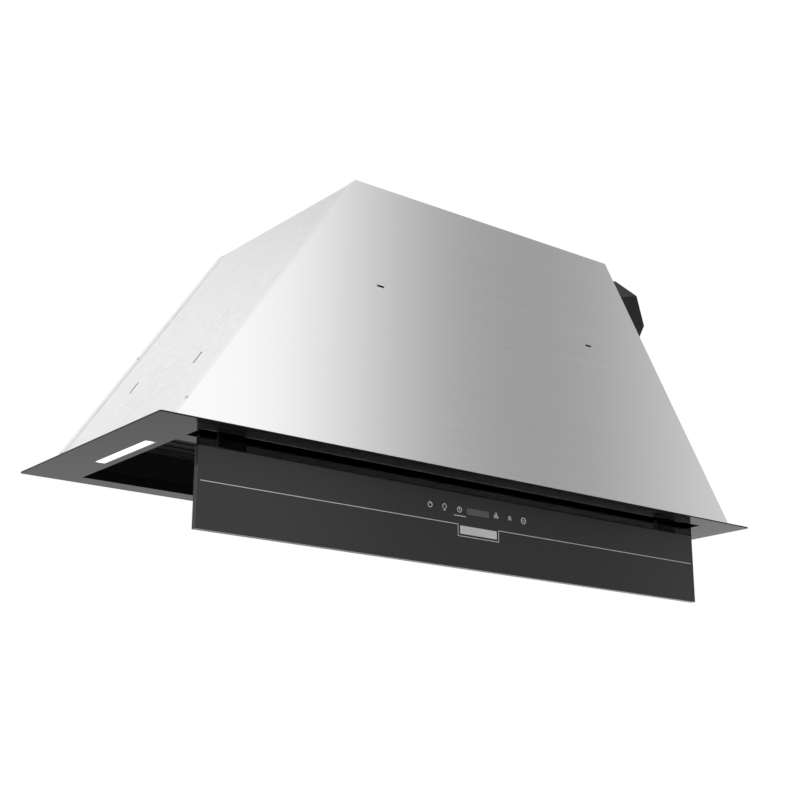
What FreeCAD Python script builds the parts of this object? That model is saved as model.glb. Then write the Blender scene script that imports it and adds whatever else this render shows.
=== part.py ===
import FreeCAD, Part
import math
import os
import re
import Sketcher
from FreeCAD import Rotation, Vector

# A built-in range hood with a sliding glass visor, in millimetres.
# X runs to the cook's right, Y towards the wall behind the hood, Z up.
# The origin is the middle of the cabinet cut-out, on the plane where the trim seats.

sizes = {
    # Trim plate and its openings
    "trimWidth": 900,
    "trimDepth": 326.6,
    "trimSheet": 1.5,
    "trimCorner": 3,
    "sideBorder": 65,
    "frontBorder": 29.3,
    "slotDepth": 32.5,
    "barDepth": 21.5,
    "backBorder": 27.3,
    "lipSheet": 1.2,
    "lipHeight": 9,
    "studRadius": 2,
    "studHeight": 7,
    "studInset": 5.5,
    # Lamps in the trim
    "lampInset": 49.4,
    "lampMiddle": 2,
    "lampWidth": 17,
    "lampLength": 123,
    "lampCorner": 4,
    "lampGap": 0.3,
    "lensLip": 2.2,
    "lensLipSheet": 1.2,
    "lampHousingHeight": 12,
    "lampHousingWall": 1.2,
    "ledBoardSheet": 1,
    "ledBoardWidth": 10,
    "ledSize": 3.5,
    "ledPitch": 14,
    # Sheet metal body
    "sideRim": 22.7,
    "endRim": 13.8,
    "wallLeanShare": 0.683497537,
    "bodyHeight": 324.8,
    "wallSheet": 1,
    "returnDepth": 12,
    "bodyFlange": 10,
    "hookSlotSpan": 336,
    "hookSlotHeight": 201,
    "hookSlotLength": 10,
    "hookSlotWidth": 2.2,
    "clipSlotFront": -76,
    "clipSlotBack": 67,
    "clipSlotHeight": 95.5,
    "clipSlotLength": 15,
    "clipSlotWidth": 3,
    "wallHoleSpan": 300,
    "wallHoleHeight": 190,
    "wallHoleRadius": 4,
    "seamGap": 0.2,
    # Rivets of the body seams
    "rivetRadius": 2.4,
    "rivetCrown": 1.5,
    "rivetHead": 1.1,
    "rivetLow": 25,
    "rivetHigh": 160,
    "rivetEdge": 6,
    # Filter surround
    "surroundGap": 0.2,
    "surroundSheet": 1,
    "ledgeHeight": 43,
    "surroundHeight": 54,
    "frontLedge": 8.4,
    "backLedge": 9.1,
    # Baffle filters
    "filterHeight": 12,
    "filterSheet": 1,
    "filterFlange": 8,
    "filterGap": 0.5,
    "filterSideGap": 3.9,
    "filterMiddleGap": 1.5,
    "filterTravel": 8.5,
    "baffleCount": 11,
    "baffleWidth": 14,
    "baffleLeg": 5.4,
    "baffleSheet": 0.8,
    "baffleLift": 0.2,
    "handleLength": 70,
    "handleHeight": 11,
    "handleWidth": 12,
    "handleSheet": 1.2,
    # Shield that closes the visor's compartment
    "shieldGap": 0.2,
    "shieldSheet": 1,
    "shieldRoom": 13,
    "shieldSideGap": 0.6,
    # Visor
    "visorSideGap": 4,
    "visorFrontGap": 12.7,
    "glassSheet": 5,
    "visorDrop": 103,
    "visorRise": 3,
    "backPlateSheet": 2,
    "backPlateTop": -14.5,
    "visorTravel": 55,
    "touchWidth": 176,
    "touchHeight": 24,
    "touchTop": -20,
    "touchDepth": 9,
    "touchWall": 1.2,
    "touchBoardSheet": 1.6,
    "touchMargin": 4,
    # Visor guides and lift
    "rodInset": 40,
    "rodBehind": 8.5,
    "rodRadius": 4,
    "rodPeg": 3.5,
    "rodGap": 0.05,
    "blockHalf": 9,
    "blockFoot": 12,
    "blockHeight": 30,
    "blockReach": 6.6,
    "armSheet": 4.7,
    "armDrop": 60,
    "armReach": 25,
    "rackEdge": 2,
    "rackWidth": 10,
    "rackTop": 52,
    "rackSpare": 6,
    "rackBase": 2.6,
    "pinionRadius": 8,
    "pinionTeeth": 16,
    "toothPlay": 0.15,
    "pressureAngle": 20,
    "shaftHeight": 45,
    "shaftRadius": 3,
    "shaftOverhang": 2,
    "bearingStep": 16,
    "bearingWidth": 12,
    "bearingHeight": 20,
    "bracketSheet": 2,
    "bracketInner": 12,
    "bracketOuter": 10,
    "earGap": 1.5,
    "wingGap": 2,
    "wingHeight": 42,
    "wingSlotFoot": 5,
    "wingSlotWidth": 3.4,
    "wingSlotPitch": 6.2,
    "wingSlotCount": 4,
    "liftMotorInset": 135,
    "liftMotorWidth": 56,
    "liftMotorHeight": 40,
    "liftMotorReach": 12.5,
    "liftCanRadius": 11,
    "liftCanLength": 42,
    # Outlet on the right wall
    "mouthStand": 71.6624,
    "mouthDrop": 35.9,
    "outletTilt": 16.7,
    "outletAcross": 103,
    "ductRadius": 49.5,
    "ductDepth": 40,
    "throatRadius": 48.5,
    "outletGap": 0.5,
    "flangeAcross": 122,
    "flangeSheet": 2,
    "flangeScrewRadius": 2,
    "flangeScrewHead": 3.2,
    "flangeScrewHeight": 1.8,
    "flangeScrewReach": 57.4,
    "pinRadius": 1.5,
    "flapDepth": 50,
    "flapSheet": 1.2,
    "flapGap": 0.8,
    "knuckleRadius": 2.6,
    "knuckleLength": 11,
    "knucklePitch": 12,
    "knuckleGap": 0.05,
    "flapEdge": 3.2,
    "seatInner": 46,
    "seatSheet": 2,
    "seatGap": 0.3,
    # Blower
    "fanMiddleX": -15,
    "fanGap": 6,
    "blowerFront": 30.5,
    "blowerBack": 9.5,
    "blowerDrop": 117.8,
    "scrollHeight": 95,
    "scrollWall": 2,
    "scrollStep": 11,
    "neckEnd": 190,
    "neckInner": -43.5,
    "neckFlange": 4,
    "seamLip": 5,
    "seamLipSheet": 2,
    "inletFlange": 10,
    "inletSheet": 1.5,
    "throatStep": 17,
    "inletTurn": 10,
    "bladeCount": 36,
    "bladeWidth": 13.5,
    "bladeSweep": 9,
    "bladeSheet": 1,
    "bladeGap": 11,
    "hubSheet": 2,
    "hubDrop": 13,
    "ringWidth": 5,
    "ringHeight": 3,
    "rotorRadius": 39,
    "rotorWall": 3,
    "rotorFlange": 50,
    "rotorHeight": 56,
    "rotorGap": 2,
    "statorRadius": 33.5,
    "statorHub": 9,
    "motorFlange": 47,
    "motorFlangeSheet": 3,
    "motorHole": 36,
    "motorShaftRadius": 4,
    "bufferRadius": 8,
    "bufferWaist": 5.5,
    "bufferReach": 66,
    # Electrics
    "boxWidth": 108,
    "boxHeight": 84,
    "boxDepth": 40,
    "boxGap": 4.5,
    "boxFoot": 95,
    "boxWall": 2,
    "boxCoverSheet": 2,
    "boardSheet": 1.6,
    "boardInset": 6,
    "boardStand": 8,
    "partHeight": 14,
    "capacitorRadius": 15,
    "capacitorLength": 58,
    "capacitorGap": 6,
    "glandRadius": 9,
    "glandCollar": 12,
    "glandHeight": 18,
    "glandBore": 4,
    "glandX": -150,
    "glandInset": 54.5,
    # One overrun serves all cuts
    "overrun": 5,
}

# What follows from those sizes, each on its own row below them
follows = {
    "bodyWidth": "trimWidth - 2 * sideRim",
    "bodyDepth": "trimDepth - 2 * endRim",
    "topWidth": "bodyWidth - 2 * wallLeanShare * bodyHeight",
    "openingWidth": "trimWidth - 2 * sideBorder",
    "slotFront": "frontBorder - trimDepth / 2",
    "slotBack": "slotFront + slotDepth",
    "openingFront": "slotBack + barDepth",
    "openingBack": "trimDepth / 2 - backBorder",
    "lampCentre": "trimWidth / 2 - lampInset",
    "visorWidth": "openingWidth - 2 * visorSideGap",
    "visorFace": "slotFront + visorFrontGap",
    "rodCentre": "openingWidth / 2 - rodInset",
    "rodMiddle": "slotBack + rodBehind",
    "blockBack": "rodMiddle + blockReach",
    "armBack": "visorFace + glassSheet + backPlateSheet + armSheet",
    "armInside": "rodCentre - armReach",
    "rackInside": "armInside + rackEdge",
    "rackFoot": "shaftHeight - visorTravel - rackSpare",
    "bearingInside": "rackInside - bearingStep",
    "bracketInside": "rodCentre - bracketInner",
    "bracketOutside": "rodCentre + bracketOuter",
    "earHeight": "blockFoot + blockHeight + visorTravel + earGap",
    "rodTop": "earHeight + bracketSheet + rodPeg",
    "shieldHeight": "rackTop + visorTravel + shieldRoom",
    "liftMotorCentre": "liftMotorInset - rodCentre",
    "liftMotorFront": "rodMiddle - liftMotorReach",
    "scrollStart": "(bodyDepth - 2 * wallSheet - blowerBack - blowerFront - 5 * scrollStep) / 2",
    "fanMiddleY": "bodyDepth / 2 - wallSheet - blowerBack - scrollStart - 1.5 * scrollStep",
    "fanRadius": "scrollStart - fanGap",
    "fanFloor": "bodyHeight - blowerDrop",
    "bladeInner": "fanRadius - bladeWidth",
    "inletThroat": "fanRadius - throatStep",
    "glandY": "bodyDepth / 2 - glandInset",
    "mouthHeight": "bodyHeight - mouthDrop",
    "mouthMiddle": "fanMiddleY + (neckInner - scrollStart - 3.5 * scrollStep) / 2",
    "mouthRight": "bodyWidth / 2 - (bodyWidth - topWidth) / 2 * mouthHeight / bodyHeight + mouthStand",
    "scrollLeft": "fanMiddleX - scrollStart - 2.5 * scrollStep - scrollWall - seamLip",
    "boxLeft": "scrollLeft - boxGap - boxWidth",
}

doc = FreeCAD.newDocument("RangeHood")
sheet = doc.addObject("Spreadsheet::Sheet", "Sizes")
cells = {name: str(number) for name, number in sizes.items()}
cells.update({name: "=" + rule for name, rule in follows.items()})
for row, (name, content) in enumerate(cells.items(), start=1):
    sheet.set("A%d" % row, name)
    sheet.set("B%d" % row, content)
    sheet.setAlias("B%d" % row, name)
doc.recompute()

words = re.compile(r"[A-Za-z]+")
nodes = []


def bound(text):
    """The text with each size name pointing at its cell."""
    return words.sub(lambda word: "Sizes." + word.group(0) if word.group(0) in cells else word.group(0), text)


def size(name):
    return float(getattr(sheet, name))


def keep(part, label):
    part.Label = label
    nodes.append(part)
    return part


# Sketched pieces

def addPolygon(sketch, corners):
    first = sketch.GeometryCount
    turn = 2 * math.pi / len(corners)
    spots = [Vector(math.cos(turn * i), math.sin(turn * i), 0) for i in range(len(corners))]
    for i, spot in enumerate(spots):
        sketch.addGeometry(Part.LineSegment(spot, spots[(i + 1) % len(spots)]), False)
    for i, (across, up) in enumerate(corners):
        following = first + (i + 1) % len(corners)
        sketch.addConstraint(Sketcher.Constraint("Coincident", first + i, 2, following, 1))
        fixPoint(sketch, first + i, 1, across, up)


def fixPoint(sketch, edge, end, across, up):
    for kind, text in (("DistanceX", across), ("DistanceY", up)):
        index = sketch.addConstraint(Sketcher.Constraint(kind, edge, end, 1))
        sketch.setExpression("Constraints[%d]" % index, bound(text))


def addCircle(sketch, across, up, radius):
    edge = sketch.addGeometry(Part.Circle(Vector(0, 0, 0), Vector(0, 0, 1), 1), False)
    fixPoint(sketch, edge, 3, across, up)
    index = sketch.addConstraint(Sketcher.Constraint("Radius", edge, 1))
    sketch.setExpression("Constraints[%d]" % index, bound(radius))


def rectangle(left, right, low, high):
    return [(left, low), (right, low), (right, high), (left, high)]


def addSketch(body, plane, level, loops):
    sketch = body.newObject("Sketcher::SketchObject", body.Name + "Sketch")
    origin = [item for item in body.Origin.OriginFeatures if item.Role == plane + "_Plane"][0]
    sketch.AttachmentSupport = [(origin, "")]
    sketch.MapMode = "FlatFace"
    away = "-(%s)" if plane == "XZ" else "%s"
    sketch.setExpression("AttachmentOffset.Base.z", bound(away % level))
    for loop in loops:
        if len(loop) == 3 and isinstance(loop[0], str):
            addCircle(sketch, *loop)
        else:
            addPolygon(sketch, loop)
    return sketch


def pad(body, plane, level, depth, *loops):
    """Grows the loops from the level, towards the plane's positive axis."""
    feature = body.newObject("PartDesign::Pad", body.Name + "Pad")
    feature.Profile = addSketch(body, plane, level, loops)
    feature.Reversed = plane == "XZ"
    feature.setExpression("Length", bound(depth))
    doc.recompute()
    return feature


def pocket(body, plane, level, depth, *loops):
    """Cuts the loops from the level, towards the plane's positive axis."""
    feature = body.newObject("PartDesign::Pocket", body.Name + "Pocket")
    feature.Profile = addSketch(body, plane, level, loops)
    feature.Reversed = plane != "XZ"
    feature.setExpression("Length", bound(depth))
    before = body.Shape.Volume
    doc.recompute()
    if not body.Shape.Volume < before:
        raise RuntimeError("a cut in " + body.Label + " takes nothing away")
    return feature


def newBody(label):
    body = doc.addObject("PartDesign::Body", label)
    return keep(body, label)


# Primitives and booleans

def box(corner, lengths):
    solid = doc.addObject("Part::Box", "Block")
    for name, text in zip(("Length", "Width", "Height"), lengths):
        solid.setExpression(name, bound(text))
    for axis, text in zip("xyz", corner):
        solid.setExpression("Placement.Base." + axis, bound(text))
    return solid


def span(low, high):
    """A block between two corners, each a triple of expressions."""
    return box(low, ["(%s) - (%s)" % (b, a) for a, b in zip(low, high)])


turned = {"X": Rotation(Vector(0, 1, 0), 90), "Y": Rotation(Vector(1, 0, 0), -90), "Z": Rotation()}


def roundedBlock(left, right, near, far, low, high, radius):
    """A block with round upright edges."""
    wide = span((left, "%s + %s" % (near, radius), low), (right, "%s - (%s)" % (far, radius), high))
    deep = span(("%s + %s" % (left, radius), near, low), ("%s - (%s)" % (right, radius), far, high))
    posts = [
        cylinder((across, along, low), radius, "(%s) - (%s)" % (high, low))
        for across in ("%s + %s" % (left, radius), "%s - (%s)" % (right, radius))
        for along in ("%s + %s" % (near, radius), "%s - (%s)" % (far, radius))
    ]
    return fuse(wide, deep, *posts)


def cylinder(foot, radius, height, along="Z"):
    solid = doc.addObject("Part::Cylinder", "Round")
    solid.Placement = FreeCAD.Placement(Vector(0, 0, 0), turned[along])
    solid.setExpression("Radius", bound(radius))
    solid.setExpression("Height", bound(height))
    for axis, text in zip("xyz", foot):
        solid.setExpression("Placement.Base." + axis, bound(text))
    return solid


def hexagon(foot, radius, height):
    solid = doc.addObject("Part::Prism", "Hexagon")
    solid.Polygon = 6
    solid.setExpression("Circumradius", bound(radius))
    solid.setExpression("Height", bound(height))
    for axis, text in zip("xyz", foot):
        solid.setExpression("Placement.Base." + axis, bound(text))
    return solid


def fuse(*solids):
    if len(solids) == 1:
        return solids[0]
    joined = doc.addObject("Part::MultiFuse", "Joined")
    joined.Shapes = list(solids)
    return joined


def cut(base, *tools):
    rest = doc.addObject("Part::Cut", "Rest")
    rest.Base = base
    rest.Tool = fuse(*tools)
    return rest


def group(*solids):
    """Separate solids under one name."""
    bundle = doc.addObject("Part::Compound", "Group")
    bundle.Links = list(solids)
    return bundle


def feature(label, shape, place=None):
    item = doc.addObject("Part::Feature", label)
    item.Shape = shape
    if place:
        item.Placement = place
    return item


def sided(side, low, high):
    """A span of X on the right, or its mirror image on the left."""
    return (low, high) if side > 0 else ("-(%s)" % high, "-(%s)" % low)


def halfAt(height):
    """Half the body's outer width at a height."""
    return "(bodyWidth / 2 - (bodyWidth - topWidth) / 2 * (%s) / bodyHeight)" % height


slantSheet = "(wallSheet * sqrt(1 + ((bodyWidth - topWidth) / (2 * bodyHeight)) ^ 2))"
sides = (("left", -1), ("right", 1))


# Trim plate: one folded sheet with the slot, the opening and the lamp windows

def makeTrim():
    trim = doc.addObject("PartDesign::Body", "TrimSheet")
    half = "trimWidth / 2"
    deep = "trimDepth / 2"
    openHalf = "openingWidth / 2"
    loops = [rectangle("-(%s)" % half, half, "-(%s)" % deep, deep)]
    loops.append(rectangle("-(%s)" % openHalf, openHalf, "slotFront", "slotBack"))
    loops.append(rectangle("-(%s)" % openHalf, openHalf, "openingFront", "openingBack"))
    pad(trim, "XY", "-trimSheet", "trimSheet", *loops)
    lipHalf = "openingWidth / 2 + lipSheet"
    for front, back in (("openingFront", "openingBack"), ("slotFront", "slotBack")):
        outer = rectangle("-(%s)" % lipHalf, lipHalf, front + " - lipSheet", back + " + lipSheet")
        inner = rectangle("-(%s)" % openHalf, openHalf, front, back)
        pad(trim, "XY", "0", "lipHeight", outer, inner)
    studs = [(across, up, "studRadius") for across, up in studSpots()]
    pad(trim, "XY", "0", "studHeight", *studs)
    low, high = "-trimSheet - overrun", "lipHeight + overrun"
    outline = roundedBlock("-(%s)" % half, half, "-(%s)" % deep, deep, low, high, "trimCorner")
    rounded = doc.addObject("Part::Common", "RoundedTrim")
    rounded.Base = trim
    rounded.Tool = outline
    windows = [roundedBlock(*lampBounds(side, "0"), low, high, "lampCorner") for name, side in sides]
    keep(cut(rounded, *windows), "trim_frame")


def lampBounds(side, extra):
    """Left, right, front and back of a lamp window, grown all round."""
    left, right = sided(
        side,
        "lampCentre - lampWidth / 2 - (%s)" % extra,
        "lampCentre + lampWidth / 2 + (%s)" % extra,
    )
    near = "lampMiddle - lampLength / 2 - (%s)" % extra
    far = "lampMiddle + lampLength / 2 + (%s)" % extra
    return left, right, near, far


studShares = ("-0.96", "-0.32", "0.32", "0.96")


def studSpots():
    """Where the trim's studs rise through the flanges of the front and back panel."""
    deep = "(bodyDepth / 2 - studInset)"
    return [
        ("%s * openingWidth / 2" % share, "%s%s" % (end, deep))
        for share in studShares
        for end in ("-", "")
    ]


def makeTrimNuts():
    nuts = []
    for across, up in studSpots():
        nut = hexagon((across, up, "wallSheet"), "studRadius * 2", "studRadius * 1.6")
        hole = cylinder((across, up, "0"), "studRadius + rodGap", "studHeight + overrun")
        nuts.append(cut(nut, hole))
    keep(group(*nuts), "trim_nuts")


# Body: five folded sheets

def makeFaceSheet(label, front):
    """The front or back panel, with returns that fold over the side walls."""
    panel = newBody(label)
    outer = [("-" + halfAt("0"), "0"), (halfAt("0"), "0")]
    outer += [(halfAt("bodyHeight"), "bodyHeight"), ("-" + halfAt("bodyHeight"), "bodyHeight")]
    level = "-bodyDepth / 2" if front else "bodyDepth / 2 - wallSheet"
    pad(panel, "XZ", level, "wallSheet", outer)
    start = "-bodyDepth / 2" if front else "bodyDepth / 2 - returnDepth"
    for name, side in sides:
        sign = "-" if side < 0 else ""
        edge = [(sign + halfAt("0"), "0"), (sign + halfAt("bodyHeight"), "bodyHeight")]
        inner = [
            ("%s(%s - %s)" % (sign, halfAt("bodyHeight"), slantSheet), "bodyHeight"),
            ("%s(%s - %s)" % (sign, halfAt("0"), slantSheet), "0"),
        ]
        pad(panel, "XZ", start, "returnDepth", edge + inner)
    flangeHalf = "bodyWidth / 2 - bodyFlange - %s * 2 - seamGap" % slantSheet
    low = "-bodyDepth / 2" if front else "bodyDepth / 2 - bodyFlange"
    flange = rectangle("-(%s)" % flangeHalf, flangeHalf, low, low + " + bodyFlange")
    pad(panel, "XY", "0", "wallSheet", flange)
    holes = [(across, up, "studRadius + seamGap") for across, up in studSpots() if up.startswith("-") == front]
    pocket(panel, "XY", "-overrun", "overrun * 2", *holes)
    if front:
        for name, side in sides:
            left, right = sided(side, "(hookSlotSpan - hookSlotLength) / 2", "(hookSlotSpan + hookSlotLength) / 2")
            slot = rectangle(left, right, "hookSlotHeight", "hookSlotHeight + hookSlotWidth")
            pocket(panel, "XZ", "-bodyDepth / 2 - overrun", "overrun * 2", slot)
    else:
        spots = [(sign + "wallHoleSpan / 2", "wallHoleHeight", "wallHoleRadius") for sign in ("-", "")]
        pocket(panel, "XZ", "bodyDepth / 2 - overrun", "overrun * 2", *spots)
    return panel


def makeSideWall(label, side):
    """A sloping wall with a flange at its foot and another under the top panel."""
    under = "(bodyHeight - wallSheet)"
    outer = lambda height: "(%s - %s)" % (halfAt(height), slantSheet)
    inner = lambda height: "(%s - 2 * %s)" % (halfAt(height), slantSheet)
    profile = [
        (outer("0"), "0"),
        (outer(under), under),
        (outer(under) + " - bodyFlange", under),
        (outer(under) + " - bodyFlange", under + " - wallSheet"),
        (inner(under + " - wallSheet"), under + " - wallSheet"),
        (inner("wallSheet"), "wallSheet"),
        (outer("0") + " - bodyFlange", "wallSheet"),
        (outer("0") + " - bodyFlange", "0"),
    ]
    sign = "-" if side < 0 else ""
    wall = newBody(label)
    loop = [("%s(%s)" % (sign, across), up) for across, up in profile]
    pad(wall, "XZ", "-bodyDepth / 2 + wallSheet", "bodyDepth - 2 * wallSheet", loop)
    low, high = sided(side, inner("clipSlotHeight + clipSlotLength"), outer("clipSlotHeight - clipSlotLength"))
    for middle in ("clipSlotFront", "clipSlotBack"):
        ends = ("clipSlotHeight - clipSlotLength / 2", "clipSlotHeight + clipSlotLength / 2")
        slot = rectangle(middle + " - clipSlotWidth / 2", middle + " + clipSlotWidth / 2", *ends)
        pocket(wall, "YZ", low, "(%s) - (%s)" % (high, low), slot)
    return wall


def makeTop():
    top = newBody("top_panel")
    half = "(topWidth / 2 - %s)" % slantSheet
    deep = "(bodyDepth / 2 - wallSheet)"
    plate = rectangle("-" + half, half, "-" + deep, deep)
    gland = ("glandX", "glandY", "glandRadius + seamGap")
    pad(top, "XY", "bodyHeight - wallSheet", "wallSheet", plate, gland)
    flangeHalf = "(topWidth / 2 - bodyFlange * 2)"
    for sign in ("-", ""):
        near = "%s%s" % (sign, deep)
        far = "%s(%s - wallSheet)" % (sign, deep)
        strip = rectangle("-" + flangeHalf, flangeHalf, *((near, far) if sign else (far, near)))
        pad(top, "XY", "bodyHeight - bodyFlange - wallSheet", "bodyFlange", strip)


# Rivets where the returns of the front and back panel hold the side walls

def makeRivets():
    heads = []
    slope = math.atan2((size("bodyWidth") - size("topWidth")) / 2, size("bodyHeight"))
    deep = size("bodyDepth") / 2 - size("rivetEdge")
    for name, side in sides:
        for along, height in ((-deep, "rivetLow"), (deep, "rivetLow"), (deep, "rivetHigh")):
            level = size(height)
            half = size("bodyWidth") / 2 - math.tan(slope) * level
            normal = Vector(side * math.cos(slope), 0, math.sin(slope))
            seat = Vector(side * half, along, level)
            heads.append(Part.makeCone(size("rivetRadius"), size("rivetCrown"), size("rivetHead"), seat, normal))
    keep(feature("Rivets", Part.makeCompound(heads)), "seam_rivets")


# Filter surround: walls that stand on the trim, with ledges for the filters

surroundHalf = "(openingWidth / 2 + lipSheet + surroundGap)"
surroundFront = "(openingFront - lipSheet - surroundGap)"
surroundBack = "(openingBack + lipSheet + surroundGap)"
channelEnd = "(%s + surroundSheet + backLedge)" % surroundBack


def makeSurround():
    ring = newBody("filter_surround")
    outHalf = "(%s + surroundSheet)" % surroundHalf
    outFront = "(%s - surroundSheet)" % surroundFront
    outBack = "(%s + surroundSheet)" % surroundBack
    inside = rectangle("-" + surroundHalf, surroundHalf, surroundFront, surroundBack)
    pad(ring, "XY", "0", "ledgeHeight", rectangle("-" + outHalf, outHalf, outFront, outBack), inside)
    under = "ledgeHeight - surroundSheet"
    front = rectangle("-" + outHalf, outHalf, outFront, surroundFront + " + frontLedge")
    back = rectangle("-" + outHalf, outHalf, surroundBack, channelEnd)
    pad(ring, "XY", under, "surroundSheet", front)
    pad(ring, "XY", under, "surroundSheet", back)
    rise = "surroundHeight - ledgeHeight + surroundSheet"
    pad(ring, "XY", under, rise, rectangle("-" + outHalf, outHalf, outFront, surroundFront))
    for name, side in sides:
        left, right = sided(side, surroundHalf, outHalf)
        pad(ring, "XY", under, rise, rectangle(left, right, outFront, channelEnd))


# Baffle filters: a channel frame, two rows of slats and a pull strap each

filterNear = "filterMiddleGap / 2"
filterFar = "(%s - filterSideGap)" % surroundHalf
filterFront = "(%s + filterGap)" % surroundFront
filterBack = "(%s - seamGap - filterTravel)" % channelEnd


def makeFilterFrame(name, side):
    left, right = sided(side, filterNear, filterFar)
    foot = "ledgeHeight"
    head = "ledgeHeight + filterHeight"
    outer = span((left, filterFront, foot), (right, filterBack, head))
    reach = "filterFlange"
    window = span(
        (left + " + " + reach, filterFront + " + " + reach, foot + " - overrun"),
        (right + " - " + reach, filterBack + " - " + reach, head + " + overrun"),
    )
    hollow = span(
        (left + " + filterSheet", filterFront + " + filterSheet", foot + " + filterSheet"),
        (right + " - filterSheet", filterBack + " - filterSheet", head + " - filterSheet"),
    )
    keep(cut(outer, window, hollow), "filter_%s_frame" % name)


def filterEdges():
    """The near and far side, front and back of the right filter, as numbers."""
    half = size("openingWidth") / 2 + size("lipSheet") + size("surroundGap")
    front = size("openingFront") - size("lipSheet") - size("surroundGap") + size("filterGap")
    channel = size("openingBack") + size("lipSheet") + size("surroundGap") + size("surroundSheet") + size("backLedge")
    back = channel - size("seamGap") - size("filterTravel")
    return size("filterMiddleGap") / 2, half - size("filterSideGap"), front, back


def slatSpots():
    """The middles of the lower slats along Y."""
    near, far, front, back = filterEdges()
    first = front + size("filterSheet") + size("seamGap") + size("baffleWidth") / 2
    last = back - size("filterSheet") - size("seamGap") - size("baffleWidth") / 2
    count = int(size("baffleCount"))
    return [first + (last - first) * i / (count - 1) for i in range(count)]


def slat(length, upward):
    """A channel along X, open upwards or downwards, its web at height zero."""
    half = size("baffleWidth") / 2
    wall = size("baffleSheet")
    leg = size("baffleLeg")
    profile = [(-half, 0), (half, 0), (half, leg), (half - wall, leg)]
    profile += [(half - wall, wall), (wall - half, wall), (wall - half, leg), (-half, leg)]
    sign = 1 if upward else -1
    corners = [Vector(0, across, up * sign) for across, up in profile]
    return Part.Face(Part.makePolygon(corners + corners[:1])).extrude(Vector(length, 0, 0))


def makeBaffles(name, side):
    near, far, front, back = filterEdges()
    inset = size("filterSheet") + size("seamGap")
    length = far - near - 2 * inset
    start = near + inset if side > 0 else -far + inset
    low = size("ledgeHeight") + size("filterSheet") + size("baffleLift")
    high = size("ledgeHeight") + size("filterHeight") - size("filterSheet") - size("baffleLift")
    spots = slatSpots()
    slats = []
    for spot in spots:
        lower = slat(length, True)
        lower.translate(Vector(start, spot, low))
        slats.append(lower)
    for spot, following in zip(spots, spots[1:]):
        upper = slat(length, False)
        upper.translate(Vector(start, (spot + following) / 2, high))
        slats.append(upper)
    keep(feature("Slats", Part.makeCompound(slats)), "filter_%s_baffles" % name)


def makeFilterHandle(name, side):
    near, far, front, back = filterEdges()
    middle = side * (near + far) / 2
    half = size("handleLength") / 2
    drop = size("handleHeight")
    wall = size("handleSheet")
    foot = size("handleWidth")
    profile = [(half + foot, 0), (half, 0), (half, drop), (-half, drop), (-half, 0), (-half - foot, 0)]
    profile += [(-half - foot, wall), (-half - wall, wall), (-half - wall, drop + wall)]
    profile += [(half + wall, drop + wall), (half + wall, wall), (half + foot, wall)]
    spot = slatSpots()[2]
    top = size("ledgeHeight") + size("filterSheet") + size("baffleLift")
    start = spot - size("handleWidth") / 2
    corners = [Vector(middle + across, start, top - down) for across, down in profile]
    strap = Part.Face(Part.makePolygon(corners + corners[:1])).extrude(Vector(0, size("handleWidth"), 0))
    keep(feature("Strap", strap), "filter_%s_handle" % name)


# Shield between the filters and the visor's compartment

def makeShield():
    shield = newBody("compartment_shield")
    slope = "((bodyWidth - topWidth) / (2 * bodyHeight))"
    foot = "(bodyWidth / 2 - %s - bodyFlange - shieldSideGap)" % slantSheet
    bend = "(bodyFlange - %s) / %s" % (slantSheet, slope)
    edge = lambda height: "(%s - 2 * %s - shieldSideGap)" % (halfAt(height), slantSheet)
    loop = [(foot, "0"), (foot, bend), (edge("shieldHeight"), "shieldHeight")]
    loop += [("-" + across, up) for across, up in reversed(loop)]
    back = "(%s - surroundSheet - shieldGap)" % surroundFront
    pad(shield, "XZ", back + " - shieldSheet", "shieldSheet", loop)
    half = edge("shieldHeight + shieldSheet")
    lid = rectangle("-" + half, half, "-(bodyDepth / 2 - wallSheet - seamGap)", back)
    pad(shield, "XY", "shieldHeight", "shieldSheet", lid)


shieldFront = "(%s - surroundSheet - shieldGap - shieldSheet)" % surroundFront


# Lamps: lens, LED strip and housing each side

def makeLamp(name, side):
    def bounds(extraAcross, extraAlong, low, high):
        left, right = sided(
            side,
            "lampCentre - lampWidth / 2 - (%s)" % extraAcross,
            "lampCentre + lampWidth / 2 + (%s)" % extraAcross,
        )
        near = "lampMiddle - lampLength / 2 - (%s)" % extraAlong
        far = "lampMiddle + lampLength / 2 + (%s)" % extraAlong
        return span((left, near, low), (right, far, high))

    pane = roundedBlock(*lampBounds(side, "-lampGap"), "-trimSheet", "0", "lampCorner - lampGap")
    lip = roundedBlock(*lampBounds(side, "lensLip"), "0", "lensLipSheet", "lampCorner + lensLip")
    keep(fuse(pane, lip), "lamp_%s_lens" % name)
    wall = "lensLip + seamGap + lampHousingWall"
    shell = bounds(wall, wall, "0", "lampHousingHeight")
    inside = "lensLip + seamGap"
    hollow = bounds(inside, inside, "-overrun", "lampHousingHeight - lampHousingWall")
    keep(cut(shell, hollow), "lamp_%s_housing" % name)
    top = "lampHousingHeight - lampHousingWall"
    strip = bounds("(ledBoardWidth - lampWidth) / 2", "0", top + " - ledBoardSheet", top)
    chips = []
    count = int(size("lampLength") // size("ledPitch"))
    for i in range(count):
        middle = "lampMiddle + ledPitch * %s" % (i - (count - 1) / 2)
        left, right = sided(side, "lampCentre - ledSize / 2", "lampCentre + ledSize / 2")
        low = top + " - ledBoardSheet - ledSize / 4"
        chips.append(span((left, middle + " - ledSize / 2", low), (right, middle + " + ledSize / 2", top)))
    keep(fuse(strip, *chips), "lamp_%s_strip" % name)


# Visor: glass, back plate with a window for the touch board, and the board's cover

glassBack = "(visorFace + glassSheet)"
plateBack = "(visorFace + glassSheet + backPlateSheet)"


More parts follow.
